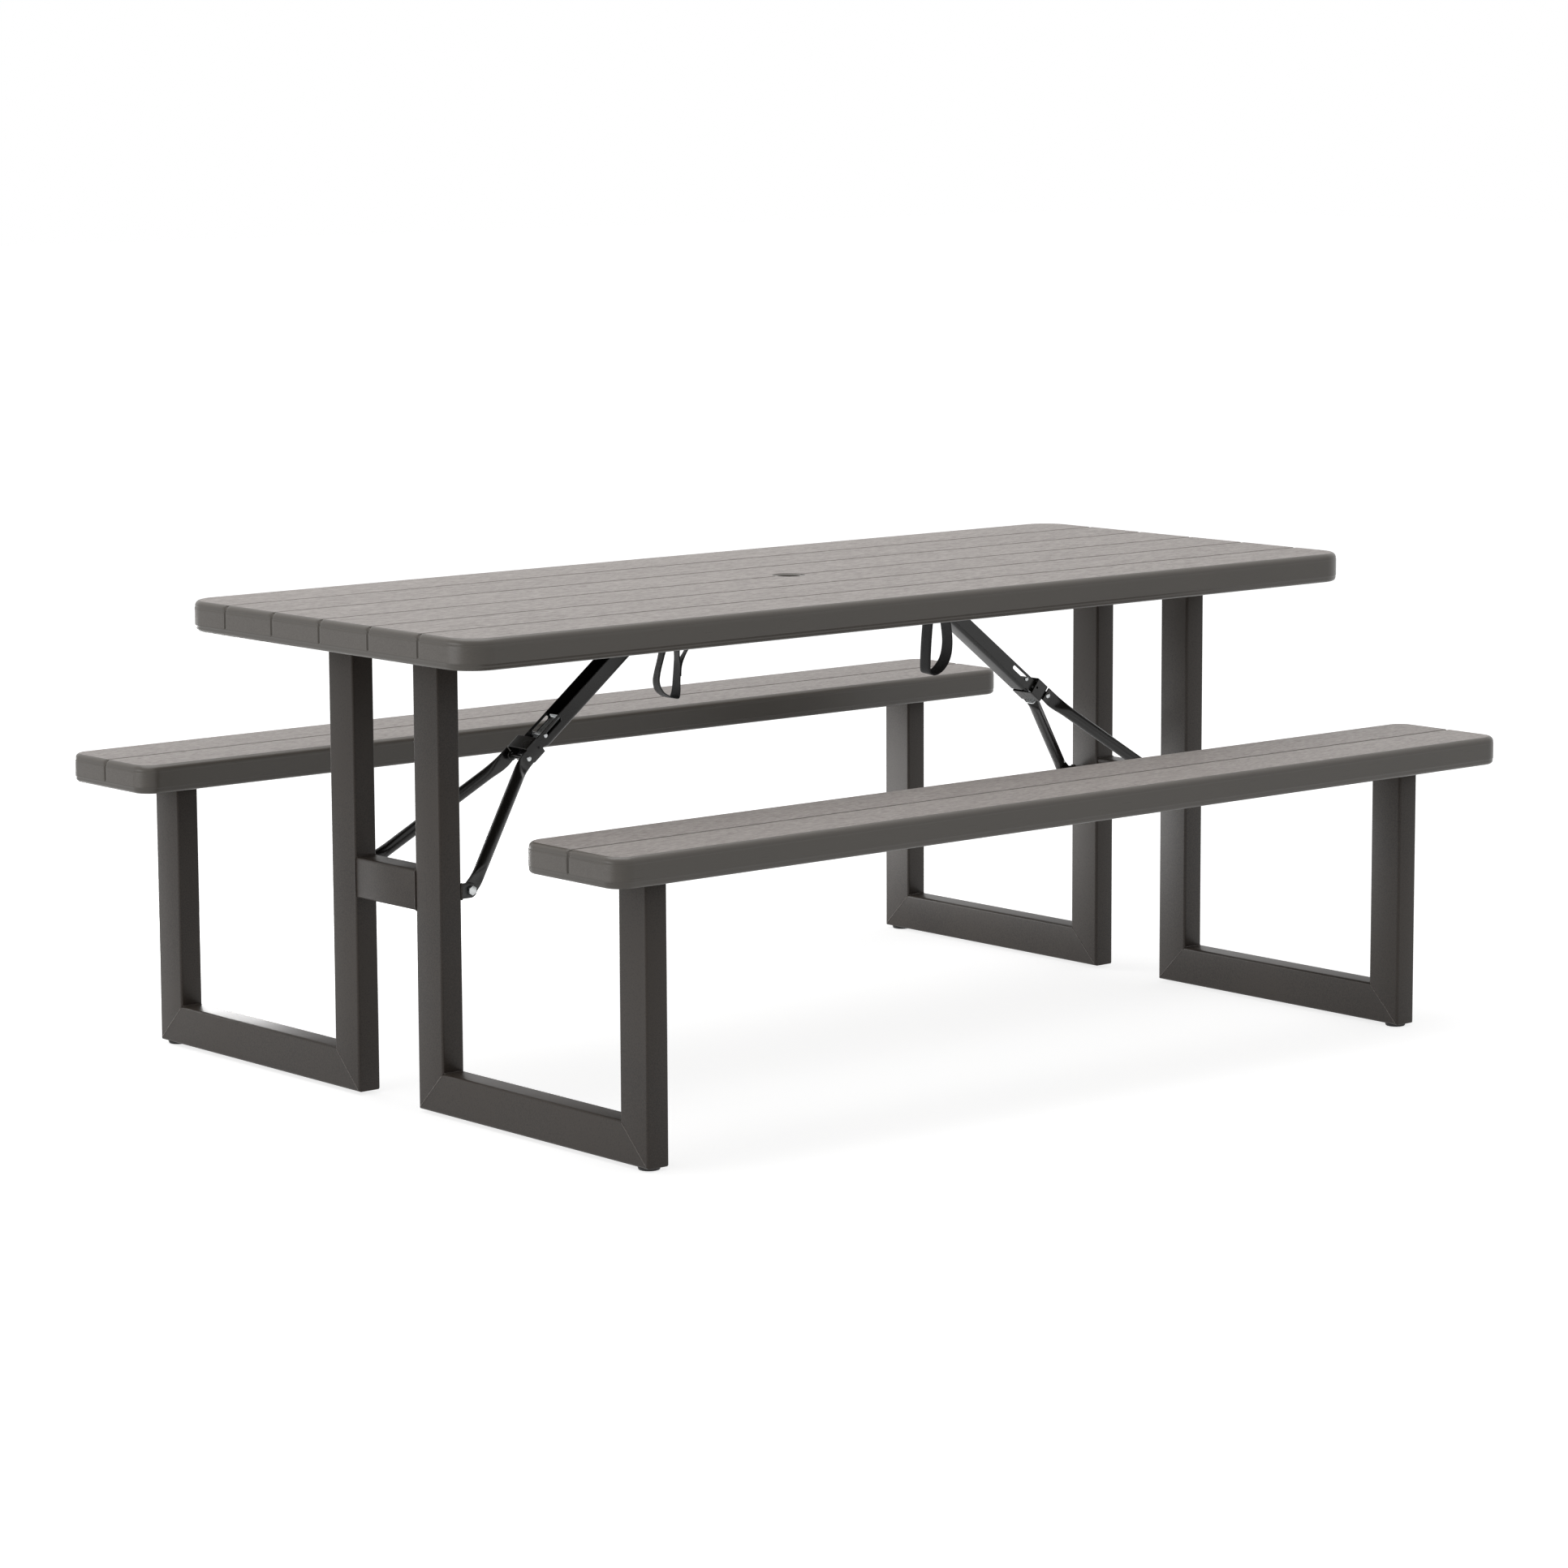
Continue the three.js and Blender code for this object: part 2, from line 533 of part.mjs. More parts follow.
const eyeTopY = -STRUT_EYE_INNER - STRUT_EYE_THICK * HALF;
const eyeLowY = STRUT_EYE_THICK * HALF - STRUT_EYE_OUTER;
const strutCircle = new THREE.Shape();
strutCircle.absarc(0, 0, STRUT_R, 0, Math.PI * 2);
const strutPath = new THREE.LineCurve3(
  new THREE.Vector3(-STRUT_EYE_R, eyeTopY, 0),
  new THREE.Vector3(STRUT_EYE_R - strutLength, eyeLowY, 0),
);
const strutOptions = { steps: 1, bevelEnabled: false, extrudePath: strutPath, curveSegments: ARC };
const strutBody = solidOf(new THREE.ExtrudeGeometry(strutCircle, strutOptions));
const crimpNorm = Math.hypot(1, STRUT_CRIMP_SLOPE);
const crimpX = STRUT_CRIMP_SLOPE / crimpNorm;
const crimpY = 1 / crimpNorm;
const upperCrimp = crimpX * STRUT_CRIMP_START - crimpY * (STRUT_EYE_INNER + STRUT_EYE_THICK);
const lowerCrimp = crimpX * (STRUT_CRIMP_START - strutLength) + crimpY * (STRUT_EYE_OUTER - STRUT_EYE_THICK);
const strutTube = strutBody
  .trimByPlane([0, -1, 0], STRUT_EYE_INNER)
  .trimByPlane([0, 1, 0], -STRUT_EYE_OUTER)
  .trimByPlane([-crimpX, crimpY, 0], upperCrimp)
  .trimByPlane([crimpX, -crimpY, 0], lowerCrimp);
const upperEye = eye(
  -STRUT_EYE_LENGTH, 0, 0, STRUT_EYE_R, -STRUT_EYE_INNER - STRUT_EYE_THICK, -STRUT_EYE_INNER);
const lowerEye = eye(
  -strutLength, STRUT_EYE_LENGTH - strutLength, -strutLength, STRUT_EYE_R,
  -STRUT_EYE_OUTER, STRUT_EYE_THICK - STRUT_EYE_OUTER);
const strut = strutTube.add(upperEye).add(lowerEye).trimByPlane([-1, 0, 0], -STRUT_EYE_TOP);
addFour('strut', placeBrace(strut, strutAngle), BLACK);

export default group;
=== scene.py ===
import math

import bmesh
import bpy
from mathutils import Matrix, Vector
from mathutils.geometry import tessellate_polygon


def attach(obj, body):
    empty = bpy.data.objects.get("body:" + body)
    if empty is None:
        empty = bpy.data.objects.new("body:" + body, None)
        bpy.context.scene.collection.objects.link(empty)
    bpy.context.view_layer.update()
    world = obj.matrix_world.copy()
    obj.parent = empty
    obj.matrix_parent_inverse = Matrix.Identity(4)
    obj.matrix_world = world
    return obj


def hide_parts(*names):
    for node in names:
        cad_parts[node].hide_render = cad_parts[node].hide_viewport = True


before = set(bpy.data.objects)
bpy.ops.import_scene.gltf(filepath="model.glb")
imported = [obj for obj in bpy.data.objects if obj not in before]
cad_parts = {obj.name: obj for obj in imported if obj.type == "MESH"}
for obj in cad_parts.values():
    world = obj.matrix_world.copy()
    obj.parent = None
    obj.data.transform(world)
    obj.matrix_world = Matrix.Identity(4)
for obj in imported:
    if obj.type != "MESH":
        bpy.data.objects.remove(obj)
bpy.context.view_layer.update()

scene = bpy.context.scene
scene.view_settings.view_transform = "Standard"

# The studio: a white sweep, seen by a long lens from low down off the left end of the near side.
# One wide soft light hangs overhead, one stands low off the left end, a small one low behind.
CAMERA_PLACE = Vector((-5.02278, -5.88159, 1.56653))
CAMERA_AZIMUTH = math.radians(40.43)
CAMERA_ELEVATION = math.radians(8.51)
CAMERA_ROLL = math.radians(-0.27)
CAMERA_LENS = 111.64
FLOOR_HALF = 30.0
WORLD_LEVEL = 0.3
SOFT_LIGHTS = (
    ("overhead_light", Vector((-0.4, 0.3, 4.6)), 140.0, 4.5, 4.5),
    ("end_light", Vector((-7.0, 1.2, 0.7)), 75.0, 5.0, 1.2),
    ("low_light", Vector((-0.35, 1.6, 0.28)), 12.0, 1.1, 0.45))


def linear(code):
    """sRGB hex to linear colour with alpha."""
    parts = [int(code[i:i + 2], 16) / 255 for i in (1, 3, 5)]
    return (*[c / 12.92 if c <= 0.04045 else ((c + 0.055) / 1.055) ** 2.4 for c in parts], 1.0)


def add(tree, kind, sets=()):
    """Adds a node: sets are (property or input, value) pairs; an output as value is linked."""
    node = tree.nodes.new(kind)
    for key, value in sets:
        if isinstance(key, str) and hasattr(node, key) and key not in node.inputs:
            setattr(node, key, value)
        elif hasattr(value, "is_output"):
            tree.links.new(value, node.inputs[key])
        else:
            node.inputs[key].default_value = value
    return node


camera_data = bpy.data.cameras.new("camera")
camera_data.lens = CAMERA_LENS
camera_data.clip_end = 100.0
camera = bpy.data.objects.new("camera", camera_data)
scene.collection.objects.link(camera)
ahead = Vector((
    math.sin(CAMERA_AZIMUTH) * math.cos(CAMERA_ELEVATION),
    math.cos(CAMERA_AZIMUTH) * math.cos(CAMERA_ELEVATION),
    -math.sin(CAMERA_ELEVATION)))
level = Vector((math.cos(CAMERA_AZIMUTH), -math.sin(CAMERA_AZIMUTH), 0))
above = level.cross(ahead)
across = level * math.cos(CAMERA_ROLL) + above * math.sin(CAMERA_ROLL)
upward = above * math.cos(CAMERA_ROLL) - level * math.sin(CAMERA_ROLL)
axes = Matrix((across, upward, -ahead)).transposed().to_4x4()
camera.matrix_world = Matrix.Translation(CAMERA_PLACE) @ axes
scene.camera = camera

world = bpy.data.worlds.new("white_studio")
scene.world = world
world.use_nodes = True
tree = world.node_tree
tree.nodes.clear()
path = add(tree, "ShaderNodeLightPath")
seen = add(tree, "ShaderNodeMath", [
    ("operation", "MAXIMUM"), (0, path.outputs["Is Camera Ray"]), (1, path.outputs["Is Glossy Ray"])])
seen = add(tree, "ShaderNodeMath", [
    ("operation", "MAXIMUM"), (0, seen.outputs[0]), (1, path.outputs["Is Transmission Ray"])])
lit = add(tree, "ShaderNodeBackground", [("Color", linear("#ffffff")), ("Strength", WORLD_LEVEL)])
white = add(tree, "ShaderNodeBackground", [("Color", linear("#ffffff")), ("Strength", 1.0)])
either = add(tree, "ShaderNodeMixShader", [
    (0, seen.outputs[0]), (1, lit.outputs[0]), (2, white.outputs[0])])
add(tree, "ShaderNodeOutputWorld", [("Surface", either.outputs[0])])

floor_paint = bpy.data.materials.new("matt_white_studio_floor")
floor_paint.use_nodes = True
tree = floor_paint.node_tree
tree.nodes.clear()
path = add(tree, "ShaderNodeLightPath")
seen = add(tree, "ShaderNodeMath", [
    ("operation", "MAXIMUM"), (0, path.outputs["Is Camera Ray"]), (1, path.outputs["Is Glossy Ray"])])
seen = add(tree, "ShaderNodeMath", [
    ("operation", "MAXIMUM"), (0, seen.outputs[0]), (1, path.outputs["Is Transmission Ray"])])
matt = add(tree, "ShaderNodeBsdfDiffuse", [("Color", linear("#b8b8b8"))])
shade = add(tree, "ShaderNodeBsdfDiffuse", [("Color", linear("#cccccc"))])
away = add(tree, "ShaderNodeVectorMath", [
    ("operation", "LENGTH"), (0, add(tree, "ShaderNodeTexCoord").outputs["Object"])])
sweep = add(tree, "ShaderNodeMapRange", [
    ("Value", away.outputs["Value"]), ("From Min", 1.2), ("From Max", 3.2), ("To Min", 0.78), ("To Max", 0.9)])
glow = add(tree, "ShaderNodeEmission", [("Color", linear("#ffffff")), ("Strength", sweep.outputs[0])])
bright = add(tree, "ShaderNodeAddShader", [(0, shade.outputs[0]), (1, glow.outputs[0])])
either = add(tree, "ShaderNodeMixShader", [
    (0, seen.outputs[0]), (1, matt.outputs[0]), (2, bright.outputs[0])])
add(tree, "ShaderNodeOutputMaterial", [("Surface", either.outputs[0])])
floor_mesh = bpy.data.meshes.new("floor")
floor_mesh.from_pydata(
    [(x * FLOOR_HALF, y * FLOOR_HALF, 0) for x, y in ((-1, -1), (1, -1), (1, 1), (-1, 1))],
    [], [(0, 1, 2, 3)])
floor_mesh.materials.append(floor_paint)
floor = bpy.data.objects.new("floor", floor_mesh)
scene.collection.objects.link(floor)

for name, light_place, power, wide, high in SOFT_LIGHTS:
    light_data = bpy.data.lights.new(name, "AREA")
    light_data.energy = power
    light_data.shape = "RECTANGLE"
    light_data.size = wide
    light_data.size_y = high
    light = bpy.data.objects.new(name, light_data)
    scene.collection.objects.link(light)
    light.location = light_place
    light.visible_camera = False
    light.rotation_euler = (Vector((0, 0, 0.5)) - light_place).to_track_quat("-Z", "Y").to_euler()

# Table top: one hollow blow-moulded panel of high-density polyethylene, drawn as six planks with a
# turned-down rim. Wood grain is embossed on the flats; lips, grooves and rim keep the mould's satin.
MM = 0.001
PANEL_LENGTH = 1829.0
PANEL_THICK = 22.0
PLANK_PITCH = 123.2
TOP_WIDTH, TOP_HEIGHT, TOP_RIM, TOP_CORNER, TOP_WALL = 730.0, 747.2, 47.0, 53.0, 28.0
EDGE_R = 9.5
EDGE_BREAK = math.radians(14)
FOOT_R, WALL_R, ROOT_R = 6.0, 3.0, 5.0
STEP_UP, STEP_IN = 9.4, 0.6
GROOVE_LIP = ((0.0, 3.0), (0.9, 3.0), (1.5, 2.6), (1.9, 1.5), (2.4, 0.7), (3.2, 0.22), (4.6, 0.03), (6.5, 0.0))
END_LEDGE, END_GRAIN = 1.1, 0.15
CORNER_STEPS = 14
POLE_PATCH = 30.0
POLE_HOLE = (
    (27.0, 0.0), (26.4, 0.6), (26.0, 1.1), (25.6, 1.5), (19.2, 1.5), (18.4, 1.8), (18.0, 2.5),
    (18.0, PANEL_THICK - 1.2), (18.4, PANEL_THICK - 0.3), (19.4, PANEL_THICK))


def new_material(name):
    material = bpy.data.materials.new(name)
    material.use_nodes = True
    return material, material.node_tree, material.node_tree.nodes["Principled BSDF"]


# Blow-moulded polyethylene: coloured right through, so it never looks painted. The embossed grain
# scatters light in fine streaks along each plank, and the smooth edges keep a soft, waxy highlight.
# The grained flats are coloured much lighter than the smooth skin: real streaks of grain on a painted
# sheen for the grazing light the flats catch. The rounded edges carry a painted highlight.
GRAIN_WIDTH, GRAIN_LENGTH, END_GRAIN_HIGH = 3.0, 13.0, 2.0
FIGURE_WIDTH, FIGURE_LENGTH, FIGURE_HIGH = 10.0, 45.0, 5.0
SCUFF_WIDTH, SCUFF_LENGTH = 1.4, 45.0
SKIN_SIZE = 1.6
plank_plastic, tree, shader = new_material("polyethylene_blow_moulded_wood_grain")
place = add(tree, "ShaderNodeTexCoord").outputs["Object"]
grain = add(tree, "ShaderNodeAttribute", [("attribute_name", "grain")]).outputs["Fac"]
plank = add(tree, "ShaderNodeAttribute", [("attribute_name", "plank")]).outputs["Fac"]
edge_highlight = add(tree, "ShaderNodeAttribute", [("attribute_name", "edge_highlight")]).outputs["Fac"]
apart = add(tree, "ShaderNodeCombineXYZ", [
    ("X", add(tree, "ShaderNodeMath", [("operation", "MULTIPLY"), (0, plank), (1, 3.7)]).outputs[0])])
board = add(tree, "ShaderNodeVectorMath", [("operation", "ADD"), (0, place), (1, apart.outputs[0])]).outputs[0]
streak_at = add(tree, "ShaderNodeMapping", [
    ("Vector", board), ("Scale", (1 / (GRAIN_LENGTH * MM), 1 / (GRAIN_WIDTH * MM), 1 / (END_GRAIN_HIGH * MM)))])
streak = add(tree, "ShaderNodeTexNoise", [
    ("Vector", streak_at.outputs[0]), ("Scale", 1.0), ("Detail", 3.0), ("Roughness", 0.6), ("Distortion", 0.35)])
figure_at = add(tree, "ShaderNodeMapping", [
    ("Vector", board), ("Scale", (1 / (FIGURE_LENGTH * MM), 1 / (FIGURE_WIDTH * MM), 1 / (FIGURE_HIGH * MM)))])
figure = add(tree, "ShaderNodeTexNoise", [
    ("Vector", figure_at.outputs[0]), ("Scale", 1.0), ("Detail", 2.0), ("Roughness", 0.6), ("Distortion", 0.6)])
tone = add(tree, "ShaderNodeTexWhiteNoise", [("noise_dimensions", "1D"), ("W", plank)])
sum_a = add(tree, "ShaderNodeMath", [
    ("operation", "MULTIPLY_ADD"), (0, figure.outputs["Fac"]), (1, 0.4), (2, streak.outputs["Fac"])])
sum_b = add(tree, "ShaderNodeMath", [
    ("operation", "MULTIPLY_ADD"), (0, tone.outputs["Value"]), (1, 0.06), (2, sum_a.outputs[0])])
wood_share = add(tree, "ShaderNodeMapRange", [
    ("Value", sum_b.outputs[0]), ("From Min", 0.36), ("From Max", 1.08)])
# This ramp is far lighter than the smooth skin: the streaks are real grain, but the lighter level is a painted sheen
# for the light the flats catch. The end faces take a share of it.
grain_and_painted_sheen = add(tree, "ShaderNodeValToRGB", [("Fac", wood_share.outputs[0])])
grain_and_painted_sheen.color_ramp.elements[0].color = linear("#625b57")
grain_and_painted_sheen.color_ramp.elements[1].color = linear("#b2aba7")
cloud = add(tree, "ShaderNodeTexNoise", [("Vector", place), ("Scale", 9.0), ("Detail", 3.0)])
skin = add(tree, "ShaderNodeMix", [
    ("data_type", "RGBA"), (0, cloud.outputs["Fac"]), (6, linear("#4d4841")), (7, linear("#56514a"))])
# Painted highlight: the attribute read above lightens the rounded top edge, most at its middle, and a thin line on the
# ledge below it, where light catches the edge.
edge_lit = add(tree, "ShaderNodeMix", [
    ("data_type", "RGBA"), (0, edge_highlight), (6, skin.outputs[2]), (7, linear("#625d57"))])
scuff_at = add(tree, "ShaderNodeMapping", [
    ("Vector", place), ("Scale", (1 / (SCUFF_LENGTH * MM), 1 / (60 * MM), 1 / (SCUFF_WIDTH * MM)))])
scuff = add(tree, "ShaderNodeTexNoise", [("Vector", scuff_at.outputs[0]), ("Scale", 1.0), ("Detail", 1.0)])
scuffed = add(tree, "ShaderNodeMapRange", [
    ("Value", scuff.outputs["Fac"]), ("From Min", 0.71), ("From Max", 0.78), ("To Max", 0.5)])
marked = add(tree, "ShaderNodeMix", [
    ("data_type", "RGBA"), (0, scuffed.outputs[0]), (6, edge_lit.outputs[2]), (7, linear("#3c3834"))])
colour = add(tree, "ShaderNodeMix", [
    ("data_type", "RGBA"), (0, grain), (6, marked.outputs[2]), (7, grain_and_painted_sheen.outputs["Color"])])
peel = add(tree, "ShaderNodeTexNoise", [("Vector", place), ("Scale", 1 / (SKIN_SIZE * MM)), ("Detail", 1.0)])
skin_rough = add(tree, "ShaderNodeMapRange", [
    ("Value", cloud.outputs["Fac"]), ("To Min", 0.3), ("To Max", 0.4)])
wood_rough = add(tree, "ShaderNodeMapRange", [
    ("Value", streak.outputs["Fac"]), ("To Min", 0.66), ("To Max", 0.46)])
rough = add(tree, "ShaderNodeMix", [
    (0, grain), (2, skin_rough.outputs[0]), (3, wood_rough.outputs[0])])
wood_bump = add(tree, "ShaderNodeBump", [
    ("Height", streak.outputs["Fac"]), ("Strength", grain), ("Distance", 0.5 * MM)])
skin_bump = add(tree, "ShaderNodeBump", [
    ("Height", peel.outputs["Fac"]), ("Strength", 0.35), ("Distance", 0.06 * MM),
    ("Normal", wood_bump.outputs[0])])
for socket, value in (("Base Color", colour.outputs[2]), ("Roughness", rough.outputs[0]), ("Normal", skin_bump.outputs[0])):
    tree.links.new(value, shader.inputs[socket])
shader.inputs["IOR"].default_value = 1.52


def mesh_piece(name, points, faces, material, recalc=True):
    """A closed mesh at the origin from points in millimetres, with its faces turned outwards."""
    mesh = bpy.data.meshes.new(name)
    mesh.from_pydata([Vector(p) * MM for p in points], [], faces)
    if recalc:
        shell = bmesh.new()
        shell.from_mesh(mesh)
        bmesh.ops.recalc_face_normals(shell, faces=shell.faces)
        shell.to_mesh(mesh)
        shell.free()
    mesh.materials.append(material)
    mesh.shade_smooth()
    piece = bpy.data.objects.new(name, mesh)
    scene.collection.objects.link(piece)
    return piece


def panel_rings(rim, wall):
    """The mould's section from the flat top round the rim to the underside.

    Each ring is inset, drop, tilt of the surface, share of groove depth, flare of the groove's lips,
    grain, painted highlight (a lighter tone along the rounded top edge and the ledge below it), and the
    ledge and grain that only the two ends have."""
    lip = EDGE_R * (1 - math.sin(EDGE_BREAK))
    rings = [(lip + 0.9, 0, 0, 1, 1, 1, 0, 0, 0), (lip, 0, 0, 1, 1.05, 0, 0.2, 0, 0)]
    quarter = math.pi / 2
    for i in range(1, 9):
        share = i / 8
        tilt = EDGE_BREAK + (quarter - EDGE_BREAK) * share
        swell = math.sin(math.pi * share)
        drop = EDGE_R * (math.cos(EDGE_BREAK) - math.cos(tilt))
        rings.append((
            EDGE_R * (1 - math.sin(tilt)), drop, tilt, 1, 1.1 + 0.7 * swell, 0, 0.2 + 0.6 * swell,
            END_LEDGE * share * share, 0))
    # The seventh value is a painted highlight: it peaks at the middle of the rounding and on the ledge rings below it.
    rings.append((0, drop + 0.4, quarter, 1, 1.2, 0, 0.2, END_LEDGE, 0))
    rings.append((0, drop + 1.0, quarter, 1, 1.2, 0, 0.6, END_LEDGE * 0.3, 0))
    rings.append((0, drop + 1.7, quarter, 1, 1.2, 0, 0.3, 0, 0))
    for up, depth, flare, ends in (
            (33, 1, 1.2, 1), (16, 1, 1.2, 1), (13.4, 1, 1.1, 1), (11.9, 0.85, 0.8, 1), (11, 0.4, 0.65, 0), (10.4, 0, 0.6, 0)):
        rings.append((0, rim - up, quarter, depth, flare, 0, 0, 0, END_GRAIN * ends))
    plain = (quarter, 0, 1, 0, 0, 0, 0)
    rings += [(0, rim - STEP_UP - 0.2, *plain), (STEP_IN, rim - STEP_UP + 0.5, *plain)]
    for i in range(6):
        turn = quarter * i / 5
        rings.append((STEP_IN + FOOT_R * (1 - math.cos(turn)), rim - FOOT_R + FOOT_R * math.sin(turn), *plain))
    for i in range(4):
        turn = quarter * i / 3
        rings.append((wall - WALL_R + WALL_R * math.sin(turn), rim - WALL_R + WALL_R * math.cos(turn), *plain))
    for i in range(5):
        turn = quarter * i / 4
        drop = PANEL_THICK + ROOT_R - ROOT_R * math.sin(turn)
        rings.append((wall + 1.5 + ROOT_R * (1 - math.cos(turn)), drop, *plain))
    return rings


def plank_panel(name, width, corner, wall, rim, top, y_mid, grooves, hole, first_plank):
    """A rimmed plank panel, its grooves running over both ends, as one closed mesh."""
    half_l, half_w = PANEL_LENGTH / 2, width / 2
    flat_l, flat_w = half_l - corner, half_w - corner
    cuts = [PLANK_PITCH * (i - (grooves - 1) / 2) for i in range(grooves)]
    lines = [(g, s * d, depth) for g in cuts for d, depth in GROOVE_LIP for s in ((1,) if d == 0 else (-1, 1))]
    if hole:
        lines += [(s * y, 0, 0) for y in (14, 19, 24, POLE_PATCH) for s in (-1, 1)]
    lines.sort(key=lambda line: line[0] + line[1])
    columns = [-700, -450, -200, 200, 450, 700]
    if hole:
        columns += [-POLE_PATCH, -20, -10, 0, 10, 20, POLE_PATCH]
    columns.sort()
    points, marks, faces = [], [], []

    def point(x, y, z, grain_share=0, highlight_share=0):
        points.append((x, y + y_mid, z))
        marks.append((grain_share, first_plank + math.floor(y / PLANK_PITCH), highlight_share))
        return len(points) - 1

    def end_points(inset, drop, tilt, share, flare, grained, highlight_share, ledge, end_grain):
        made = []
        turns = [math.pi / 2 * i / CORNER_STEPS for i in range(CORNER_STEPS + 1)]
        for turn in turns:
            round_to = math.sin(turn) ** 2
            radius = corner - inset - ledge * round_to
            made.append((
                -flat_l - radius * math.sin(turn), -flat_w - radius * math.cos(turn), top - drop,
                max(grained, end_grain * round_to), highlight_share))
        far_corner = [(x, -y, z, *mark) for x, y, z, *mark in reversed(made)]
        for cut, off, depth in lines:
            sunk = depth * share
            x = -(half_l - inset - ledge - sunk * math.sin(tilt))
            z = top - drop - sunk * math.cos(tilt)
            made.append((x, cut + off * flare, z, max(grained, end_grain) if depth < 0.3 else 0, highlight_share))
        return made + far_corner

    loops = []
    rings = panel_rings(rim, wall)
    for ring in rings:
        left = end_points(*ring)
        z, side = top - ring[1], half_w - ring[0]
        loop = [point(*p) for p in left]
        loop += [point(x, side, z, ring[5], ring[6]) for x in columns]
        loop += [point(-p[0], *p[1:]) for p in reversed(left)]
        loop += [point(x, -side, z, ring[5], ring[6]) for x in reversed(columns)]
        loops.append(loop)
    rows, count = len(left), len(columns)
    for a, b in zip(loops, loops[1:]):
        for i in range(len(a)):
            j = (i + 1) % len(a)
            faces.append((a[i], a[j], b[j], b[i]))

    def face_grid(loop, grained):
        grid = []
        for j in range(rows):
            ends = (loop[j], loop[2 * rows + count - 1 - j])
            if j == 0:
                middle = loop[:2 * rows + count - 1:-1]
            elif j == rows - 1:
                middle = loop[rows:rows + count]
            else:
                x, y, z = points[loop[j]]
                middle = [point(c, y - y_mid, z, grained and marks[loop[j]][0]) for c in columns]
            grid.append([ends[0], *middle, ends[1]])
        near = [j for j in range(rows) if abs(points[grid[j][0]][1] - y_mid) <= POLE_PATCH + 0.01]
        mid = [c + 1 for c in range(count) if abs(columns[c]) <= POLE_PATCH + 0.01]
        for j in range(rows - 1):
            for c in range(count + 1):
                inside = near[0] <= j < near[-1] and mid[0] <= c < mid[-1] if hole else False
                if not inside:
                    faces.append((grid[j][c], grid[j][c + 1], grid[j + 1][c + 1], grid[j + 1][c]))
        if not hole:
            return []
        rim_loop = [grid[near[0]][c] for c in mid[:-1]] + [grid[j][mid[-1]] for j in near[:-1]]
        rim_loop += [grid[near[-1]][c] for c in reversed(mid[1:])] + [grid[j][mid[0]] for j in reversed(near[1:])]
        return rim_loop

    upper = face_grid(loops[0], 1)
    lower = face_grid(loops[-1], 0)
    if hole:
        turns = [math.atan2(points[i][1] - y_mid, points[i][0]) for i in upper]
        sunk = [top - points[i][2] for i in upper]
        last = upper
        for k, (radius, drop) in enumerate(POLE_HOLE):
            floor_drop = [drop if k > 1 else max(drop, min(s, 1.5) if k else s) for s in sunk]
            ring = [
                point(radius * math.cos(t), radius * math.sin(t), top - d, 1 if k == 0 and d < 0.3 else 0)
                for t, d in zip(turns, floor_drop)]
            faces.extend((last[i - 1], last[i], ring[i], ring[i - 1]) for i in range(len(ring)))
            last = ring
        faces.extend((last[i - 1], last[i], lower[i], lower[i - 1]) for i in range(len(last)))
    piece = mesh_piece(name, points, faces, plank_plastic)
    for column, attribute in enumerate(("grain", "plank", "edge_highlight")):
        layer = piece.data.attributes.new(attribute, "FLOAT", "POINT")
        layer.data.foreach_set("value", [float(m[column]) for m in marks])
    crisp = set(loops[1])
    for edge in piece.data.edges:
        if edge.vertices[0] in crisp and edge.vertices[1] in crisp:
            edge.use_edge_sharp = True
    return piece


table_top = plank_panel(
    "table_top_panel", TOP_WIDTH, TOP_CORNER, TOP_WALL, TOP_RIM, TOP_HEIGHT, 0, 5, True, 0)
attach(table_top, "table")
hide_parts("table_top")

# Rod saddles: eight lugs moulded into the underside of the top. Each is a rounded block that grips
# a steel rod: four carry the hinge rods of the end frames, four the rods of the folding braces.
HINGE_X, HINGE_Z = -731.93, 715.0
BRACE_ROD_X, BRACE_ROD_Z = -286.91, 704.98
SADDLE_HALF, SADDLE_WIDTH, SADDLE_LIP = 13.0, 24.0, 11.0
SADDLE_EDGE = 1.6
HINGE_SADDLE_Y, BRACE_SADDLE_Y = 172.0, 98.0


def arc(cx, cy, radius, start, end, steps):
    """Points on an arc, angles in degrees."""
    turns = [math.radians(start + (end - start) * i / steps) for i in range(steps + 1)]
    return [(cx + radius * math.cos(t), cy + radius * math.sin(t)) for t in turns]


def inset_loop(loop, by):
    """The loop moved towards the metal: to the left of its direction of travel."""
    moved = []
    for i, p in enumerate(loop):
        back, on = Vector(p) - Vector(loop[i - 1]), Vector(loop[(i + 1) % len(loop)]) - Vector(p)
        lean = back.normalized() + on.normalized()
        side = Vector((-lean.y, lean.x)).normalized()
        square = max(0.5, side.dot(Vector((-on.y, on.x)).normalized()))
        moved.append(tuple(Vector(p) + side * by / square))
    return moved


def blank(loops, thick, edge):
    """A plate cut to an outline and holes, its edges eased: points (a, b, c) and faces."""
    points, faces = [], []
    rings = []
    for inset, c in ((edge, thick / 2), (0, thick / 2 - edge), (0, edge - thick / 2), (edge, -thick / 2)):
        row = []
        for loop in loops:
            row.append(range(len(points), len(points) + len(loop)))
            points.extend((a, b, c) for a, b in inset_loop(loop, inset))
        rings.append(row)
    for row, after in zip(rings, rings[1:]):
        for a, b in zip(row, after):
            for i in range(len(a)):
                faces.append((a[i - 1], a[i], b[i], b[i - 1]))
    for row in (rings[0], rings[-1]):
        index = [i for loop in row for i in loop]
        flat = [[Vector((points[i][0], points[i][1], 0)) for i in loop] for loop in row]
        faces.extend(tuple(index[i] for i in tri) for tri in tessellate_polygon(flat))
    return points, faces


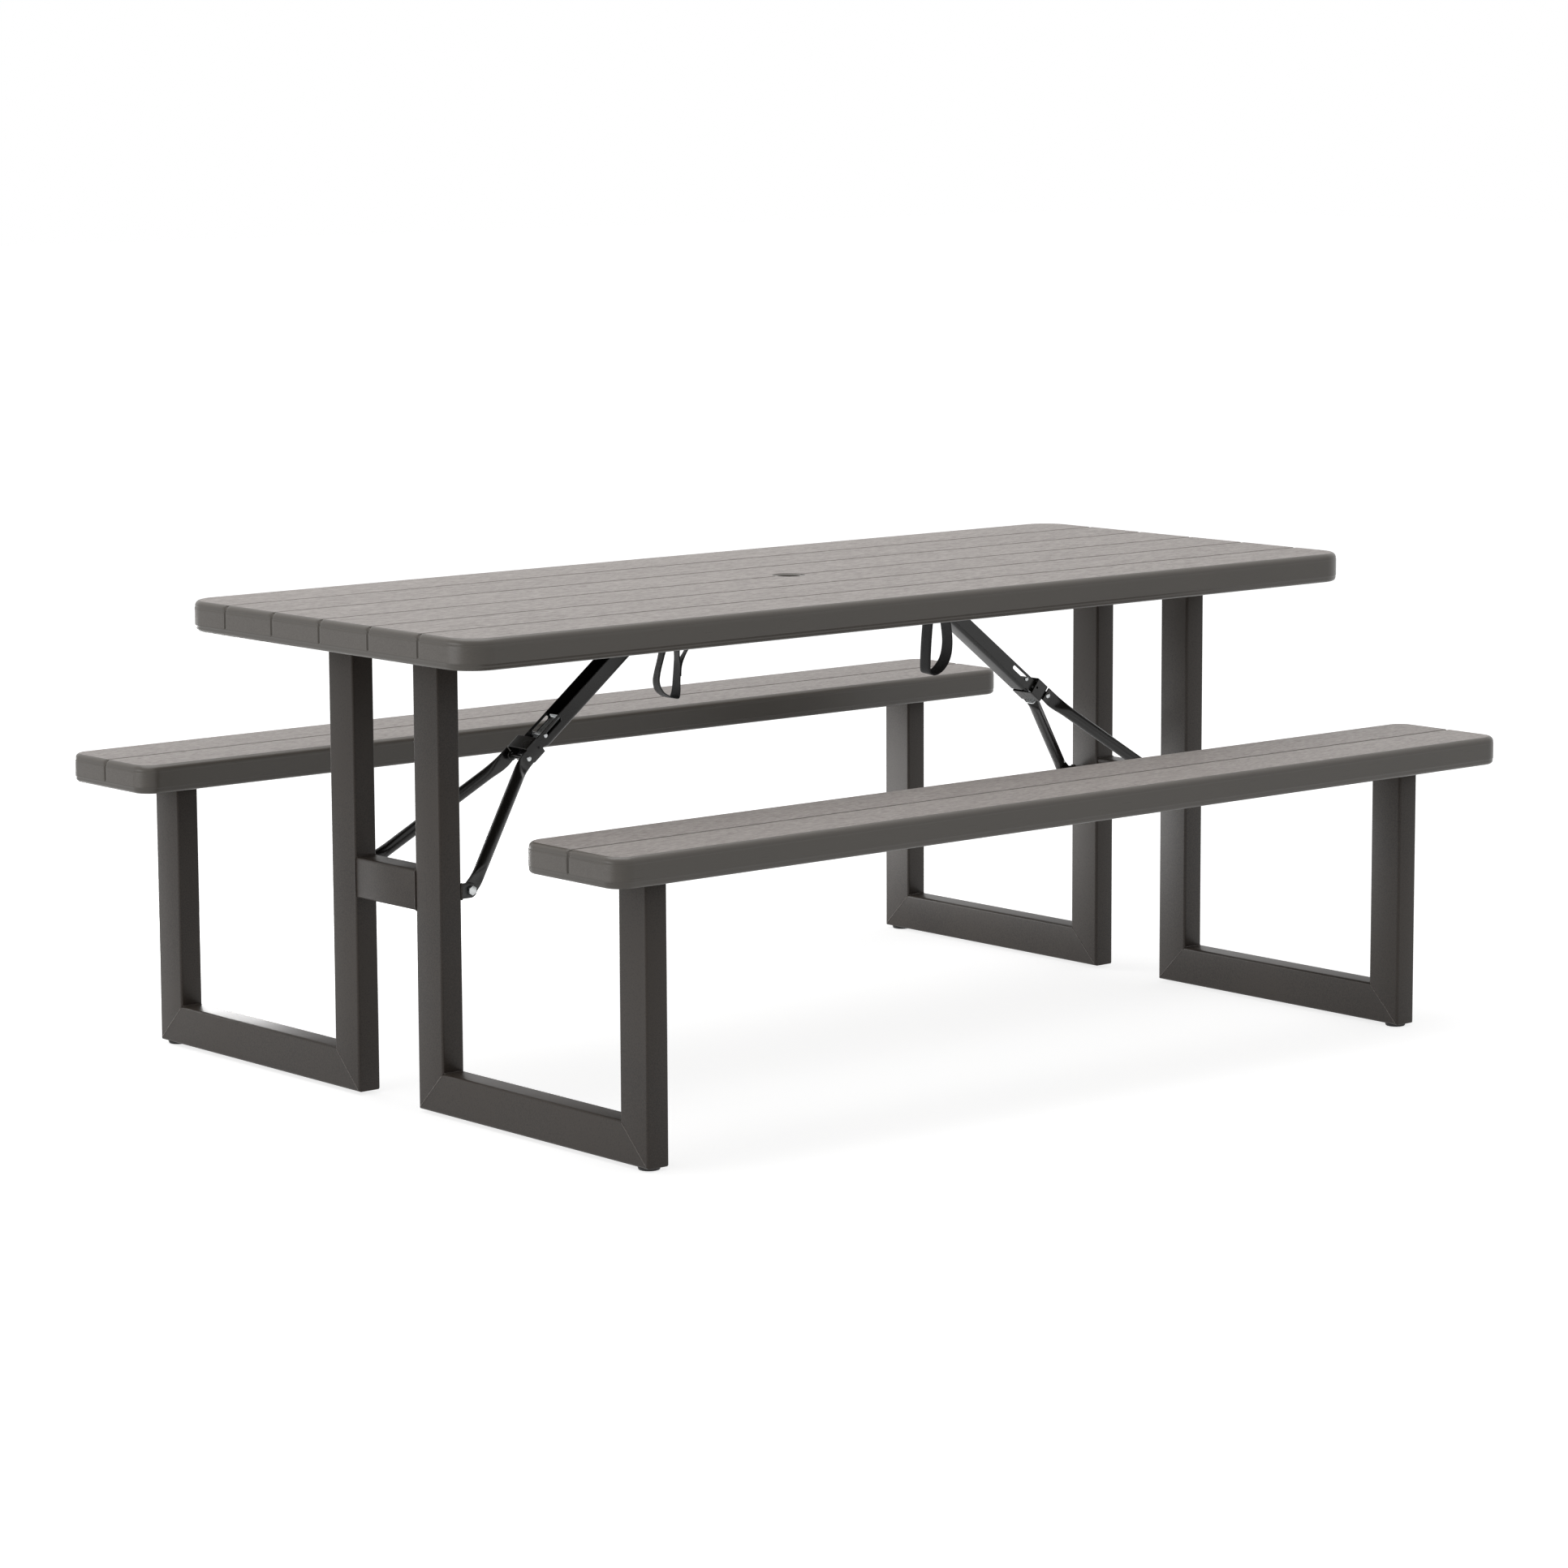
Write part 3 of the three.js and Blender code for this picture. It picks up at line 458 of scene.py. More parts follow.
saddle_points, saddle_faces = [], []
for end in (-1, 1):
    for x, z, reach in ((HINGE_X, HINGE_Z, HINGE_SADDLE_Y), (BRACE_ROD_X, BRACE_ROD_Z, BRACE_SADDLE_Y)):
        root = TOP_HEIGHT - PANEL_THICK + 0.5 - z
        outline = arc(0, 0, SADDLE_LIP, 180, 360, 16)
        outline = [(SADDLE_HALF, root), (-SADDLE_HALF, root)] + outline
        for side in (-1, 1):
            points, faces = blank([outline], SADDLE_WIDTH, SADDLE_EDGE)
            start = len(saddle_points)
            saddle_points += [(-end * x + a, side * reach + c, z + b) for a, b, c in points]
            saddle_faces += [tuple(i + start for i in face) for face in faces]
saddles = mesh_piece("rod_saddles", saddle_points, saddle_faces, plank_plastic)
saddles.data.set_sharp_from_angle(angle=math.radians(35))
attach(saddles, "table")

# Benches: the same moulding, two planks wide, one each side. A bench panel lies over a lipped steel
# track, and rollers on the end frames run in the track as the table folds.
BENCH_WIDTH, BENCH_HEIGHT, BENCH_RIM, BENCH_CORNER, BENCH_WALL = 222.0, 474.0, 45.0, 32.0, 18.0
BENCH_Y = 593.3
for side, sign, first in (("near", -1, 20), ("far", 1, 40)):
    bench = plank_panel(
        f"bench_{side}_panel", BENCH_WIDTH, BENCH_CORNER, BENCH_WALL, BENCH_RIM, BENCH_HEIGHT,
        sign * BENCH_Y, 1, False, first)
    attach(bench, f"bench_{side}")
    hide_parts(f"bench_{side}")

# End frames: rectangular steel tube, mitred at the bottom corners and welded into a W with a cross
# bar. Rolled tube corners are rounded, and the mitres show as fine lines under the coating.
TUBE_DEPTH, TUBE_WIDTH, TUBE_WALL, TUBE_ROUND = 40.0, 62.4, 2.0, 4.2
FRAME_X, LEG_Y, POST_Y = -781.15, -107.7, -593.3
FLOOR_GAP, CROSS_Z = 5.0, 338.1
LEG_TOP, POST_TOP = 724.9, 449.9
MITRE_EASE = 0.4
RAIL_Z = FLOOR_GAP + TUBE_WIDTH / 2

# Powder coat: thermoset dust melted onto steel. It flows into a slight orange peel, fills edges
# softly and dries satin; the real peel is about a millimetre, drawn at three to show at this size.
PEEL_SIZE = 3.0
FLECK_SIZE = 2.0
frame_paint, tree, shader = new_material("steel_powder_coated_bronze_grey")
place = add(tree, "ShaderNodeTexCoord").outputs["Object"]
flow = add(tree, "ShaderNodeTexNoise", [("Vector", place), ("Scale", 1 / (PEEL_SIZE * MM)), ("Detail", 2.0)])
fleck = add(tree, "ShaderNodeTexNoise", [("Vector", place), ("Scale", 1 / (FLECK_SIZE * MM)), ("Detail", 0.0)])
drift = add(tree, "ShaderNodeTexNoise", [("Vector", place), ("Scale", 5.0), ("Detail", 3.0)])
mixed = add(tree, "ShaderNodeMath", [
    ("operation", "MULTIPLY_ADD"), (0, fleck.outputs["Fac"]), (1, 0.8), (2, drift.outputs["Fac"])])
frame_shades = add(tree, "ShaderNodeValToRGB", [("Fac", mixed.outputs[0])])
frame_shades.color_ramp.elements[0].position = 0.45
frame_shades.color_ramp.elements[0].color = linear("#251f1b")
frame_shades.color_ramp.elements[1].position = 1.0
frame_shades.color_ramp.elements[1].color = linear("#3b342e")
dull = add(tree, "ShaderNodeMapRange", [("Value", drift.outputs["Fac"]), ("To Min", 0.36), ("To Max", 0.5)])
coat_bump = add(tree, "ShaderNodeBump", [
    ("Height", flow.outputs["Fac"]), ("Strength", 0.5), ("Distance", 0.12 * MM)])
for socket, value in (("Base Color", frame_shades.outputs["Color"]), ("Roughness", dull.outputs[0]), ("Normal", coat_bump.outputs[0])):
    tree.links.new(value, shader.inputs[socket])
shader.inputs["IOR"].default_value = 1.5
shader.inputs["Specular IOR Level"].default_value = 0.36


def rounded_rect(a, b, radius, steps):
    """A rectangle a by b about the origin with rounded corners."""
    x, y = a / 2 - radius, b / 2 - radius
    loop = []
    for cx, cy, start in ((x, -y, -90), (x, y, 0), (-x, y, 90), (-x, -y, 180)):
        loop += arc(cx, cy, radius, start, start + 90, steps)
    return loop


def tube(name, low, high, place_point):
    """A tube between two ends, each given as (place along the tube, slope across it)."""
    ends = [
        (low, 1, 0, MITRE_EASE), (low, 1, 2 * MITRE_EASE, 0), (high, 1, -2 * MITRE_EASE, 0), (high, 1, 0, MITRE_EASE),
        (high, 0, 0, 0), (low, 0, 0, 0)]
    points, loops, faces = [], [], []
    for (along, slope), outer, shift, ease in ends:
        shrink = 2 * ease if outer else 2 * TUBE_WALL
        radius = TUBE_ROUND - shrink / 2
        section = rounded_rect(TUBE_DEPTH - shrink, TUBE_WIDTH - shrink, radius, 6)
        loops.append(range(len(points), len(points) + len(section)))
        points += [place_point(a, b, along + slope * b + shift) for a, b in section]
    for k, loop in enumerate(loops):
        after = loops[(k + 1) % len(loops)]
        for i in range(len(loop)):
            faces.append((loop[i - 1], loop[i], after[i], after[i - 1]))
    piece = mesh_piece(name, points, faces, frame_paint)
    piece.data.set_sharp_from_angle(angle=math.radians(28))
    return piece


for end, ex in (("left", 1), ("right", -1)):
    made = []
    for side, sy in (("near", 1), ("far", -1)):
        made += [
            (f"{end}_{side}_leg", (RAIL_Z, -1), (LEG_TOP, 0),
             lambda a, b, s, ex=ex, sy=sy: (ex * (FRAME_X + a), sy * (LEG_Y + b), s)),
            (f"{end}_{side}_post", (RAIL_Z, 1), (POST_TOP, 0),
             lambda a, b, s, ex=ex, sy=sy: (ex * (FRAME_X + a), sy * (POST_Y + b), s)),
            (f"{end}_{side}_rail", (POST_Y, 1), (LEG_Y, -1),
             lambda a, b, s, ex=ex, sy=sy: (ex * (FRAME_X + a), sy * s, RAIL_Z + b))]
    reach = LEG_Y + TUBE_WIDTH / 2
    made.append((f"{end}_cross_bar", (reach, 0), (-reach, 0),
                 lambda a, b, s, ex=ex: (ex * (FRAME_X + a), s, CROSS_Z + b)))
    for node, low, high, place_point in made:
        piece = tube(f"{node}_tube", low, high, place_point)
        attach(piece, f"{end}_frame")
        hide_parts(node)

# Weld beads: the filler metal laid where the cross bar meets the legs, in the inside corners of the
# mitres, and round brackets and ears. Each bead is a row of overlapping ripples under the coating;
# along the faces of the mitres it is ground down to a low seam.
BEAD_R, BEAD_STEP = 1.7, 1.9
SEAM_R, SEAM_STEP, SEAM_SINK = 1.2, 1.0, 0.55
FACE_X = FRAME_X + TUBE_DEPTH / 2

# Powder coat over a ground seam, drawn paler than the frame: a painted highlight for the light line the seam ridge
# catches.
seam_highlight_paint = frame_paint.copy()
seam_highlight_paint.name = "steel_powder_coated_painted_seam_highlight"
seam_highlight_ramp = seam_highlight_paint.node_tree.nodes[frame_shades.name].color_ramp
seam_highlight_ramp.elements[0].color = linear("#4b4642")
seam_highlight_ramp.elements[1].color = linear("#77716c")


def node_group(name, sockets):
    """An empty geometry tree with named inputs, and its input and output nodes."""
    group = bpy.data.node_groups.new(name, "GeometryNodeTree")
    group.interface.new_socket("Geometry", in_out="INPUT", socket_type="NodeSocketGeometry")
    for label, kind in sockets:
        group.interface.new_socket(label, in_out="INPUT", socket_type=kind)
    group.interface.new_socket("Geometry", in_out="OUTPUT", socket_type="NodeSocketGeometry")
    return group, add(group, "NodeGroupInput")


def grown(name, mesh, group, values):
    """Runs a geometry tree on a mesh and keeps the result as a plain mesh object."""
    holder = bpy.data.objects.new(name, mesh)
    scene.collection.objects.link(holder)
    modifier = holder.modifiers.new("grow", "NODES")
    modifier.node_group = group
    for item in group.interface.items_tree:
        if item.item_type == "SOCKET" and item.in_out == "INPUT" and item.name in values:
            modifier[item.identifier] = values[item.name]
    evaluated = holder.evaluated_get(bpy.context.evaluated_depsgraph_get())
    result = bpy.data.meshes.new_from_object(evaluated)
    holder.modifiers.remove(modifier)
    holder.data = result
    result.name = name
    bpy.data.meshes.remove(mesh)
    return holder


bead_tree, given = node_group("weld_bead", [
    ("Bead radius", "NodeSocketFloat"), ("Ripple step", "NodeSocketFloat"), ("Seed", "NodeSocketInt"),
    ("Coating", "NodeSocketMaterial")])
line = add(bead_tree, "GeometryNodeMeshToCurve", [("Mesh", given.outputs["Geometry"])])
spots = add(bead_tree, "GeometryNodeResampleCurve", [
    ("mode", "LENGTH"), ("Curve", line.outputs[0]), ("Length", given.outputs["Ripple step"])])
ripple = add(bead_tree, "GeometryNodeMeshIcoSphere", [
    ("Radius", given.outputs["Bead radius"]), ("Subdivisions", 2)])
soft = add(bead_tree, "GeometryNodeSetShadeSmooth", [("Geometry", ripple.outputs[0])])
run = add(bead_tree, "GeometryNodeInputTangent")
aim = add(bead_tree, "FunctionNodeAlignRotationToVector", [("axis", "X"), ("Vector", run.outputs[0])])
spread = add(bead_tree, "FunctionNodeRandomValue", [
    ("data_type", "FLOAT"), (2, 0.85), (3, 1.15), ("Seed", given.outputs["Seed"])])
rows = add(bead_tree, "GeometryNodeInstanceOnPoints", [
    ("Points", spots.outputs[0]), ("Instance", soft.outputs[0]),
    ("Rotation", aim.outputs[0]), ("Scale", spread.outputs[1])])
real = add(bead_tree, "GeometryNodeRealizeInstances", [("Geometry", rows.outputs[0])])
coated = add(bead_tree, "GeometryNodeSetMaterial", [
    ("Geometry", real.outputs[0]), ("Material", given.outputs["Coating"])])
add(bead_tree, "NodeGroupOutput", [("Geometry", coated.outputs[0])])


def bead_mesh(name, runs, mirror_x):
    """Open lines in millimetres as a mesh of edges."""
    points, edges = [], []
    for run_points in runs:
        start = len(points)
        points += [Vector((mirror_x * x, y, z)) * MM for x, y, z in run_points]
        edges += [(start + i, start + i + 1) for i in range(len(run_points) - 1)]
    mesh = bpy.data.meshes.new(name)
    mesh.from_pydata(points, edges, [])
    return mesh


EAR_X, EAR_Z, EAR_HALF, EAR_Y = -742.8, 339.0, 11.5, 135.4
for end, ex, seed in (("left", 1, 3), ("right", -1, 8)):
    runs = []
    half = TUBE_DEPTH / 2 - TUBE_ROUND
    for sy in (-1, 1):
        seam = sy * (-LEG_Y - TUBE_WIDTH / 2)
        loop = rounded_rect(TUBE_DEPTH, TUBE_WIDTH, TUBE_ROUND, 3)
        runs.append([(FRAME_X + a, seam, CROSS_Z + b) for a, b in loop + loop[:1]])
        inner = RAIL_Z + TUBE_WIDTH / 2
        for y in (sy * (LEG_Y - TUBE_WIDTH / 2), sy * (POST_Y + TUBE_WIDTH / 2)):
            runs.append([(FRAME_X + x, y, inner) for x in (-half, 0, half)])
        for off in (-2.4, 2.4):
            runs.append([(FACE_X + 0.3, sy * EAR_Y + off, EAR_Z + z) for z in (-EAR_HALF, 0, EAR_HALF)])
        for y, z0, z1 in ((LEG_Y, 695.5, 724.5), (POST_Y, 423.9, 449.7)):
            for off in (-25, 25):
                runs.append([(FACE_X + 0.3, sy * y + off, z) for z in (z0, (z0 + z1) / 2, z1)])
    beads = grown(f"{end}_weld_beads", bead_mesh(f"{end}_bead_lines", runs, ex), bead_tree, {
        "Bead radius": BEAD_R * MM, "Ripple step": BEAD_STEP * MM, "Seed": seed, "Coating": frame_paint})
    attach(beads, f"{end}_frame")
    seams = []
    reach = TUBE_WIDTH / 2 - TUBE_ROUND
    for sy in (-1, 1):
        for y, lean in ((LEG_Y, -1), (POST_Y, 1)):
            for face in (-1, 1):
                x = FRAME_X + face * (TUBE_DEPTH / 2 - SEAM_SINK)
                seams.append([(x, sy * (y + b), RAIL_Z + lean * b) for b in (-reach, 0, reach)])
    # The ground seams take the paler coat, a painted highlight.
    ground = grown(f"{end}_mitre_seams", bead_mesh(f"{end}_seam_lines", seams, ex), bead_tree, {
        "Bead radius": SEAM_R * MM, "Ripple step": SEAM_STEP * MM, "Seed": seed + 1, "Coating": seam_highlight_paint})
    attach(ground, f"{end}_frame")

# Pressed steel hardware left in its CAD shape: hinge rods, brackets, bench tracks and brace rods are
# plain bar, plate and folded strip. A weld and a fine bevel ease their edges as the coating does.
EASE = 0.5


def dress(node, material, ease=EASE):
    """Gives a CAD node its finish and eased edges; its own mesh is not touched."""
    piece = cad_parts[node]
    piece.data.materials.clear()
    piece.data.materials.append(material)
    piece.data.polygons.foreach_set("use_smooth", [True] * len(piece.data.polygons))
    join = piece.modifiers.new("join", "WELD")
    join.merge_threshold = 0.01 * MM
    bevel = piece.modifiers.new("ease", "BEVEL")
    bevel.width = ease * MM
    bevel.segments = 2
    bevel.limit_method = "ANGLE"
    bevel.angle_limit = math.radians(32)
    bevel.harden_normals = True


corners = [(end, side) for end in ("left", "right") for side in ("near", "far")]
for end, side in corners:
    dress(f"{end}_{side}_leg_bracket", frame_paint)
    dress(f"{end}_{side}_post_bracket", frame_paint)
for end in ("left", "right"):
    dress(f"{end}_hinge_rod", frame_paint)
for side in ("near", "far"):
    dress(f"bench_track_{side}", frame_paint, 0.4)

# Glides: four small moulded polyethylene studs pushed into the undersides of the bottom rails at
# their outer ends. They are the only parts of the table that touch the floor.
# Injection-moulded polyethylene: dull black with a fine spark texture and pale dust scuffs below.
glide_plastic, tree, shader = new_material("polyethylene_injection_moulded_black")
place = add(tree, "ShaderNodeTexCoord").outputs["Object"]
spark = add(tree, "ShaderNodeTexNoise", [("Vector", place), ("Scale", 1 / (1.0 * MM)), ("Detail", 2.0)])
dust = add(tree, "ShaderNodeTexNoise", [("Vector", place), ("Scale", 120.0), ("Detail", 4.0)])
shades = add(tree, "ShaderNodeMix", [
    ("data_type", "RGBA"), (0, dust.outputs["Fac"]), (6, linear("#121213")), (7, linear("#2b2a29"))])
dull = add(tree, "ShaderNodeMapRange", [("Value", spark.outputs["Fac"]), ("To Min", 0.5), ("To Max", 0.75)])
grit = add(tree, "ShaderNodeBump", [("Height", spark.outputs["Fac"]), ("Strength", 0.4), ("Distance", 0.1 * MM)])
for socket, value in (("Base Color", shades.outputs[2]), ("Roughness", dull.outputs[0]), ("Normal", grit.outputs[0])):
    tree.links.new(value, shader.inputs[socket])
for end, side in corners:
    dress(f"{end}_{side}_foot", glide_plastic, 0.8)

# Bench axles: a turned steel pin through each post bracket with a roller at both ends, zinc plated.
# Zinc plate on steel: a bright, faintly bluish metal, a little cloudy where the passivate dried.
zinc, tree, shader = new_material("steel_zinc_plated_bright")
place = add(tree, "ShaderNodeTexCoord").outputs["Object"]
bloom = add(tree, "ShaderNodeTexNoise", [("Vector", place), ("Scale", 140.0), ("Detail", 3.0)])
shades = add(tree, "ShaderNodeMix", [
    ("data_type", "RGBA"), (0, bloom.outputs["Fac"]), (6, linear("#b4b8bb")), (7, linear("#dcdedd"))])
dull = add(tree, "ShaderNodeMapRange", [("Value", bloom.outputs["Fac"]), ("To Min", 0.2), ("To Max", 0.42)])
for socket, value in (("Base Color", shades.outputs[2]), ("Roughness", dull.outputs[0])):
    tree.links.new(value, shader.inputs[socket])
shader.inputs["Metallic"].default_value = 1.0
for end, side in corners:
    dress(f"{end}_{side}_axle", zinc)

# Brace ears and rods: a short plate welded to each leg with a hex bolt through it, and the rod under
# the top that each folding brace hangs from. Ears and rods are coated black, the bolts zinc plated.
# Black powder coat: smoother than the frame's, with a clear satin highlight and a faint peel.
black_paint, tree, shader = new_material("steel_powder_coated_black")
place = add(tree, "ShaderNodeTexCoord").outputs["Object"]
flow = add(tree, "ShaderNodeTexNoise", [("Vector", place), ("Scale", 1 / (2.2 * MM)), ("Detail", 2.0)])
drift = add(tree, "ShaderNodeTexNoise", [("Vector", place), ("Scale", 22.0), ("Detail", 3.0)])
shades = add(tree, "ShaderNodeMix", [
    ("data_type", "RGBA"), (0, drift.outputs["Fac"]), (6, linear("#131211")), (7, linear("#201f1d"))])
dull = add(tree, "ShaderNodeMapRange", [("Value", drift.outputs["Fac"]), ("To Min", 0.22), ("To Max", 0.36)])
coat_bump = add(tree, "ShaderNodeBump", [("Height", flow.outputs["Fac"]), ("Strength", 0.4), ("Distance", 0.08 * MM)])
for socket, value in (("Base Color", shades.outputs[2]), ("Roughness", dull.outputs[0]), ("Normal", coat_bump.outputs[0])):
    tree.links.new(value, shader.inputs[socket])
for end, side in corners:
    dress(f"{end}_{side}_ear", black_paint)
    dress(f"{end}_{side}_ear_bolt", zinc, 0.7)
for end in ("left", "right"):
    dress(f"{end}_brace_rod", black_paint)

# Brace channels: steel strip cut flat with its slots and holes, then folded to a U that is open
# towards the end frame. The web starts above the lock, so the two flanges end as bare fingers.
MID_X, MID_Z = -546.6, 506.4
CHANNEL_ANGLE = math.radians(37.93)
CHANNEL_SHEET, CHANNEL_BEND = 2.0, 5.0
CHANNEL_HIGH, CHANNEL_LOW, CHANNEL_HALF = 7.8, -18.6, 17.2
NECK_LOW, WEB_START, WEB_END = -12.0, 44.0, 308.9
ROD_U, ROD_V, ROD_HOLE = 326.9, -3.0, 6.3
SLOT_LOW, SLOT_HIGH, SLOT_R = 50.5, 85.5, 3.4
PIN_HOLE, PIN_SIDES = 4.3, 24
PIVOT_PIN = (
    (-23.3, 3.2), (-22.5, 4.0), (-14.0, 4.0), (-13.4, 3.5), (13.4, 3.5), (14.0, 4.0), (22.5, 4.0), (23.3, 3.2))
SHEET_EDGE, BEND_STEPS = 0.4, 5


def folded(w, legs, ways, bend):
    """Where a flat strip's coordinate w lands once folded: place, and the way its face points.

    legs are the straight lengths between right-angle bends, ways the side each bend turns to."""
    at, heading = Vector((0, 0)), 0.0
    quarter = bend * math.pi / 2
    for k, length in enumerate(legs):
        ahead_of = Vector((math.cos(heading), math.sin(heading)))
        beside = Vector((-ahead_of.y, ahead_of.x))
        if w <= length or k == len(legs) - 1:
            return at + ahead_of * w, beside
        at, w = at + ahead_of * length, w - length
        inward = beside * ways[k]
        if w <= quarter:
            turn = w / bend
            spot = at + ahead_of * bend * math.sin(turn) + inward * bend * (1 - math.cos(turn))
            return spot, beside * math.cos(turn) - ahead_of * ways[k] * math.sin(turn)
        at, w = at + (ahead_of + inward) * bend, w - quarter
        heading += ways[k] * math.pi / 2


def fold_plate(name, loops, thick, legs, ways, bend, place_point, material):
    """Cuts a blank, scores it along its bends and folds it: place_point sets it in the frame."""
    cuts, start = [], 0.0
    for leg in legs[:-1]:
        start += leg
        cuts += [start + bend * math.pi / 2 * i / BEND_STEPS for i in range(BEND_STEPS + 1)]
        start = cuts[-1]
    points, faces = blank(loops, thick, SHEET_EDGE)
    shell = bmesh.new()
    corners_made = [shell.verts.new(p) for p in points]
    for face in faces:
        shell.faces.new([corners_made[i] for i in face])
    for cut in cuts:
        geometry = shell.verts[:] + shell.edges[:] + shell.faces[:]
        bmesh.ops.bisect_plane(shell, geom=geometry, plane_co=(0, cut, 0), plane_no=(0, 1, 0))
    for corner_made in shell.verts:
        a, w, c = corner_made.co
        spot, facing = folded(w, legs, ways, bend)
        spot = spot + facing * c
        corner_made.co = Vector(place_point(a, spot.x, spot.y)) * MM
    bmesh.ops.recalc_face_normals(shell, faces=shell.faces)
    mesh = bpy.data.meshes.new(name)
    shell.to_mesh(mesh)
    shell.free()
    mesh.materials.append(material)
    mesh.shade_smooth()
    mesh.set_sharp_from_angle(angle=math.radians(32))
    piece = bpy.data.objects.new(name, mesh)
    scene.collection.objects.link(piece)
    return piece


def along_brace(u, y, v, ex):
    """A point of the brace: u up from the mid pivot, v across it, right end mirrored."""
    x = MID_X + u * math.cos(CHANNEL_ANGLE) - v * math.sin(CHANNEL_ANGLE)
    z = MID_Z + u * math.sin(CHANNEL_ANGLE) + v * math.cos(CHANNEL_ANGLE)
    return (ex * x, y, z)


def turned(name, profile, u, v, ex, material):
    """A turned pin lying across the brace at (u, v): profile is (y, radius) from end to end."""
    points, faces = [], []
    turns = [2 * math.pi * i / PIN_SIDES for i in range(PIN_SIDES)]
    for y, radius in profile:
        points += [along_brace(u + radius * math.cos(t), y, v + radius * math.sin(t), ex) for t in turns]
    for k in range(len(profile) - 1):
        row = k * PIN_SIDES
        for i in range(PIN_SIDES):
            j = (i + 1) % PIN_SIDES
            faces.append((row + i, row + j, row + PIN_SIDES + j, row + PIN_SIDES + i))
    faces += [tuple(range(PIN_SIDES)), tuple(range(len(points) - PIN_SIDES, len(points)))]
    piece = mesh_piece(name, points, faces, material)
    piece.data.set_sharp_from_angle(angle=math.radians(32))
    return piece


half_sheet = CHANNEL_SHEET / 2
mid_low, mid_half = CHANNEL_LOW + half_sheet, CHANNEL_HALF - half_sheet
flange_leg = CHANNEL_HIGH - (mid_low + CHANNEL_BEND)
web_leg = 2 * (mid_half - CHANNEL_BEND)
bend_run = CHANNEL_BEND * math.pi / 2
channel_wide = 2 * flange_leg + 2 * bend_run + web_leg
neck_w = CHANNEL_HIGH - NECK_LOW
pin_w, rod_w = CHANNEL_HIGH, CHANNEL_HIGH - ROD_V
outline = arc(0, pin_w, CHANNEL_HIGH, 90, 270, 14)
outline += arc(ROD_U, rod_w, rod_w, 270, 450, 14)
outline += [(WEB_END + 6, 2 * rod_w)] + arc(WEB_END + 6, 2 * rod_w + 6, 6, 270, 180, 5)
outline += arc(WEB_END + 6, channel_wide - 2 * rod_w - 6, 6, 180, 90, 5)
outline += arc(ROD_U, channel_wide - rod_w, rod_w, 270, 450, 14)
outline += arc(0, channel_wide - pin_w, CHANNEL_HIGH, 90, 270, 14)
outline += [(12, channel_wide - neck_w)] + arc(WEB_START - 5, channel_wide - neck_w - 5, 5, 90, 0, 5)
outline += arc(WEB_START - 5, neck_w + 5, 5, 0, -90, 5) + [(12, neck_w)]
holes = []
for mirror in (False, True):
    slot_loop = arc(SLOT_HIGH, pin_w, SLOT_R, 90, -90, 8) + arc(SLOT_LOW, pin_w, SLOT_R, 270, 90, 8)
    for loop in (slot_loop, arc(0, pin_w, PIN_HOLE, 360, 15, 23), arc(ROD_U, rod_w, ROD_HOLE, 360, 15, 23)):
        holes.append([(a, channel_wide - b) for a, b in reversed(loop)] if mirror else loop)
legs = (flange_leg, web_leg, flange_leg)
for end, ex in (("left", 1), ("right", -1)):
    channel = fold_plate(
        f"{end}_brace_channel_folded", [outline] + holes, CHANNEL_SHEET, legs, (1, 1), CHANNEL_BEND,
        lambda u, s, t, ex=ex: along_brace(u, mid_half - t, CHANNEL_HIGH - s, ex), black_paint)
    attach(channel, f"{end}_channel")
    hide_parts(f"{end}_brace_channel")
    pivot = turned(f"{end}_pivot_pin", PIVOT_PIN, 0, 0, ex, black_paint)
    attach(pivot, f"{end}_channel")

# Lock sleeves: a strip bent into a rectangular ring that slides on the channel and holds the brace
# straight. Its ends butt under the channel; a small punched hole shows in each side.
SLEEVE_LOW, SLEEVE_LENGTH = 6.3, 25.6
SLEEVE_HALF, SLEEVE_DEEP, SLEEVE_V = 23.4, 15.0, -1.0
SLEEVE_SHEET, SLEEVE_BEND = 1.6, 1.9
DIMPLE_U, DIMPLE_R = 20.0, 1.9
wide = 2 * (SLEEVE_HALF - SLEEVE_SHEET / 2 - SLEEVE_BEND)
deep = 2 * (SLEEVE_DEEP - SLEEVE_SHEET / 2 - SLEEVE_BEND)
legs = (wide / 2, deep, wide, deep, wide / 2)
bend_run = SLEEVE_BEND * math.pi / 2
sleeve_round = sum(legs) + 4 * bend_run
ends = [(0, 0), (SLEEVE_LENGTH, 0), (SLEEVE_LENGTH, sleeve_round), (0, sleeve_round)]
first_side = wide / 2 + bend_run + deep / 2
punched = [arc(DIMPLE_U, w, DIMPLE_R, 360, 24, 14) for w in (first_side, sleeve_round - first_side)]
for end, ex in (("left", 1), ("right", -1)):
    sleeve = fold_plate(
        f"{end}_lock_sleeve_ring", [ends] + punched, SLEEVE_SHEET, legs, (1, 1, 1, 1), SLEEVE_BEND,
        lambda u, s, t, ex=ex: along_brace(
            SLEEVE_LOW + u, -s, SLEEVE_V - SLEEVE_DEEP + SLEEVE_SHEET / 2 + t, ex), black_paint)
    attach(sleeve, f"{end}_sleeve")
    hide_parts(f"{end}_lock_sleeve")

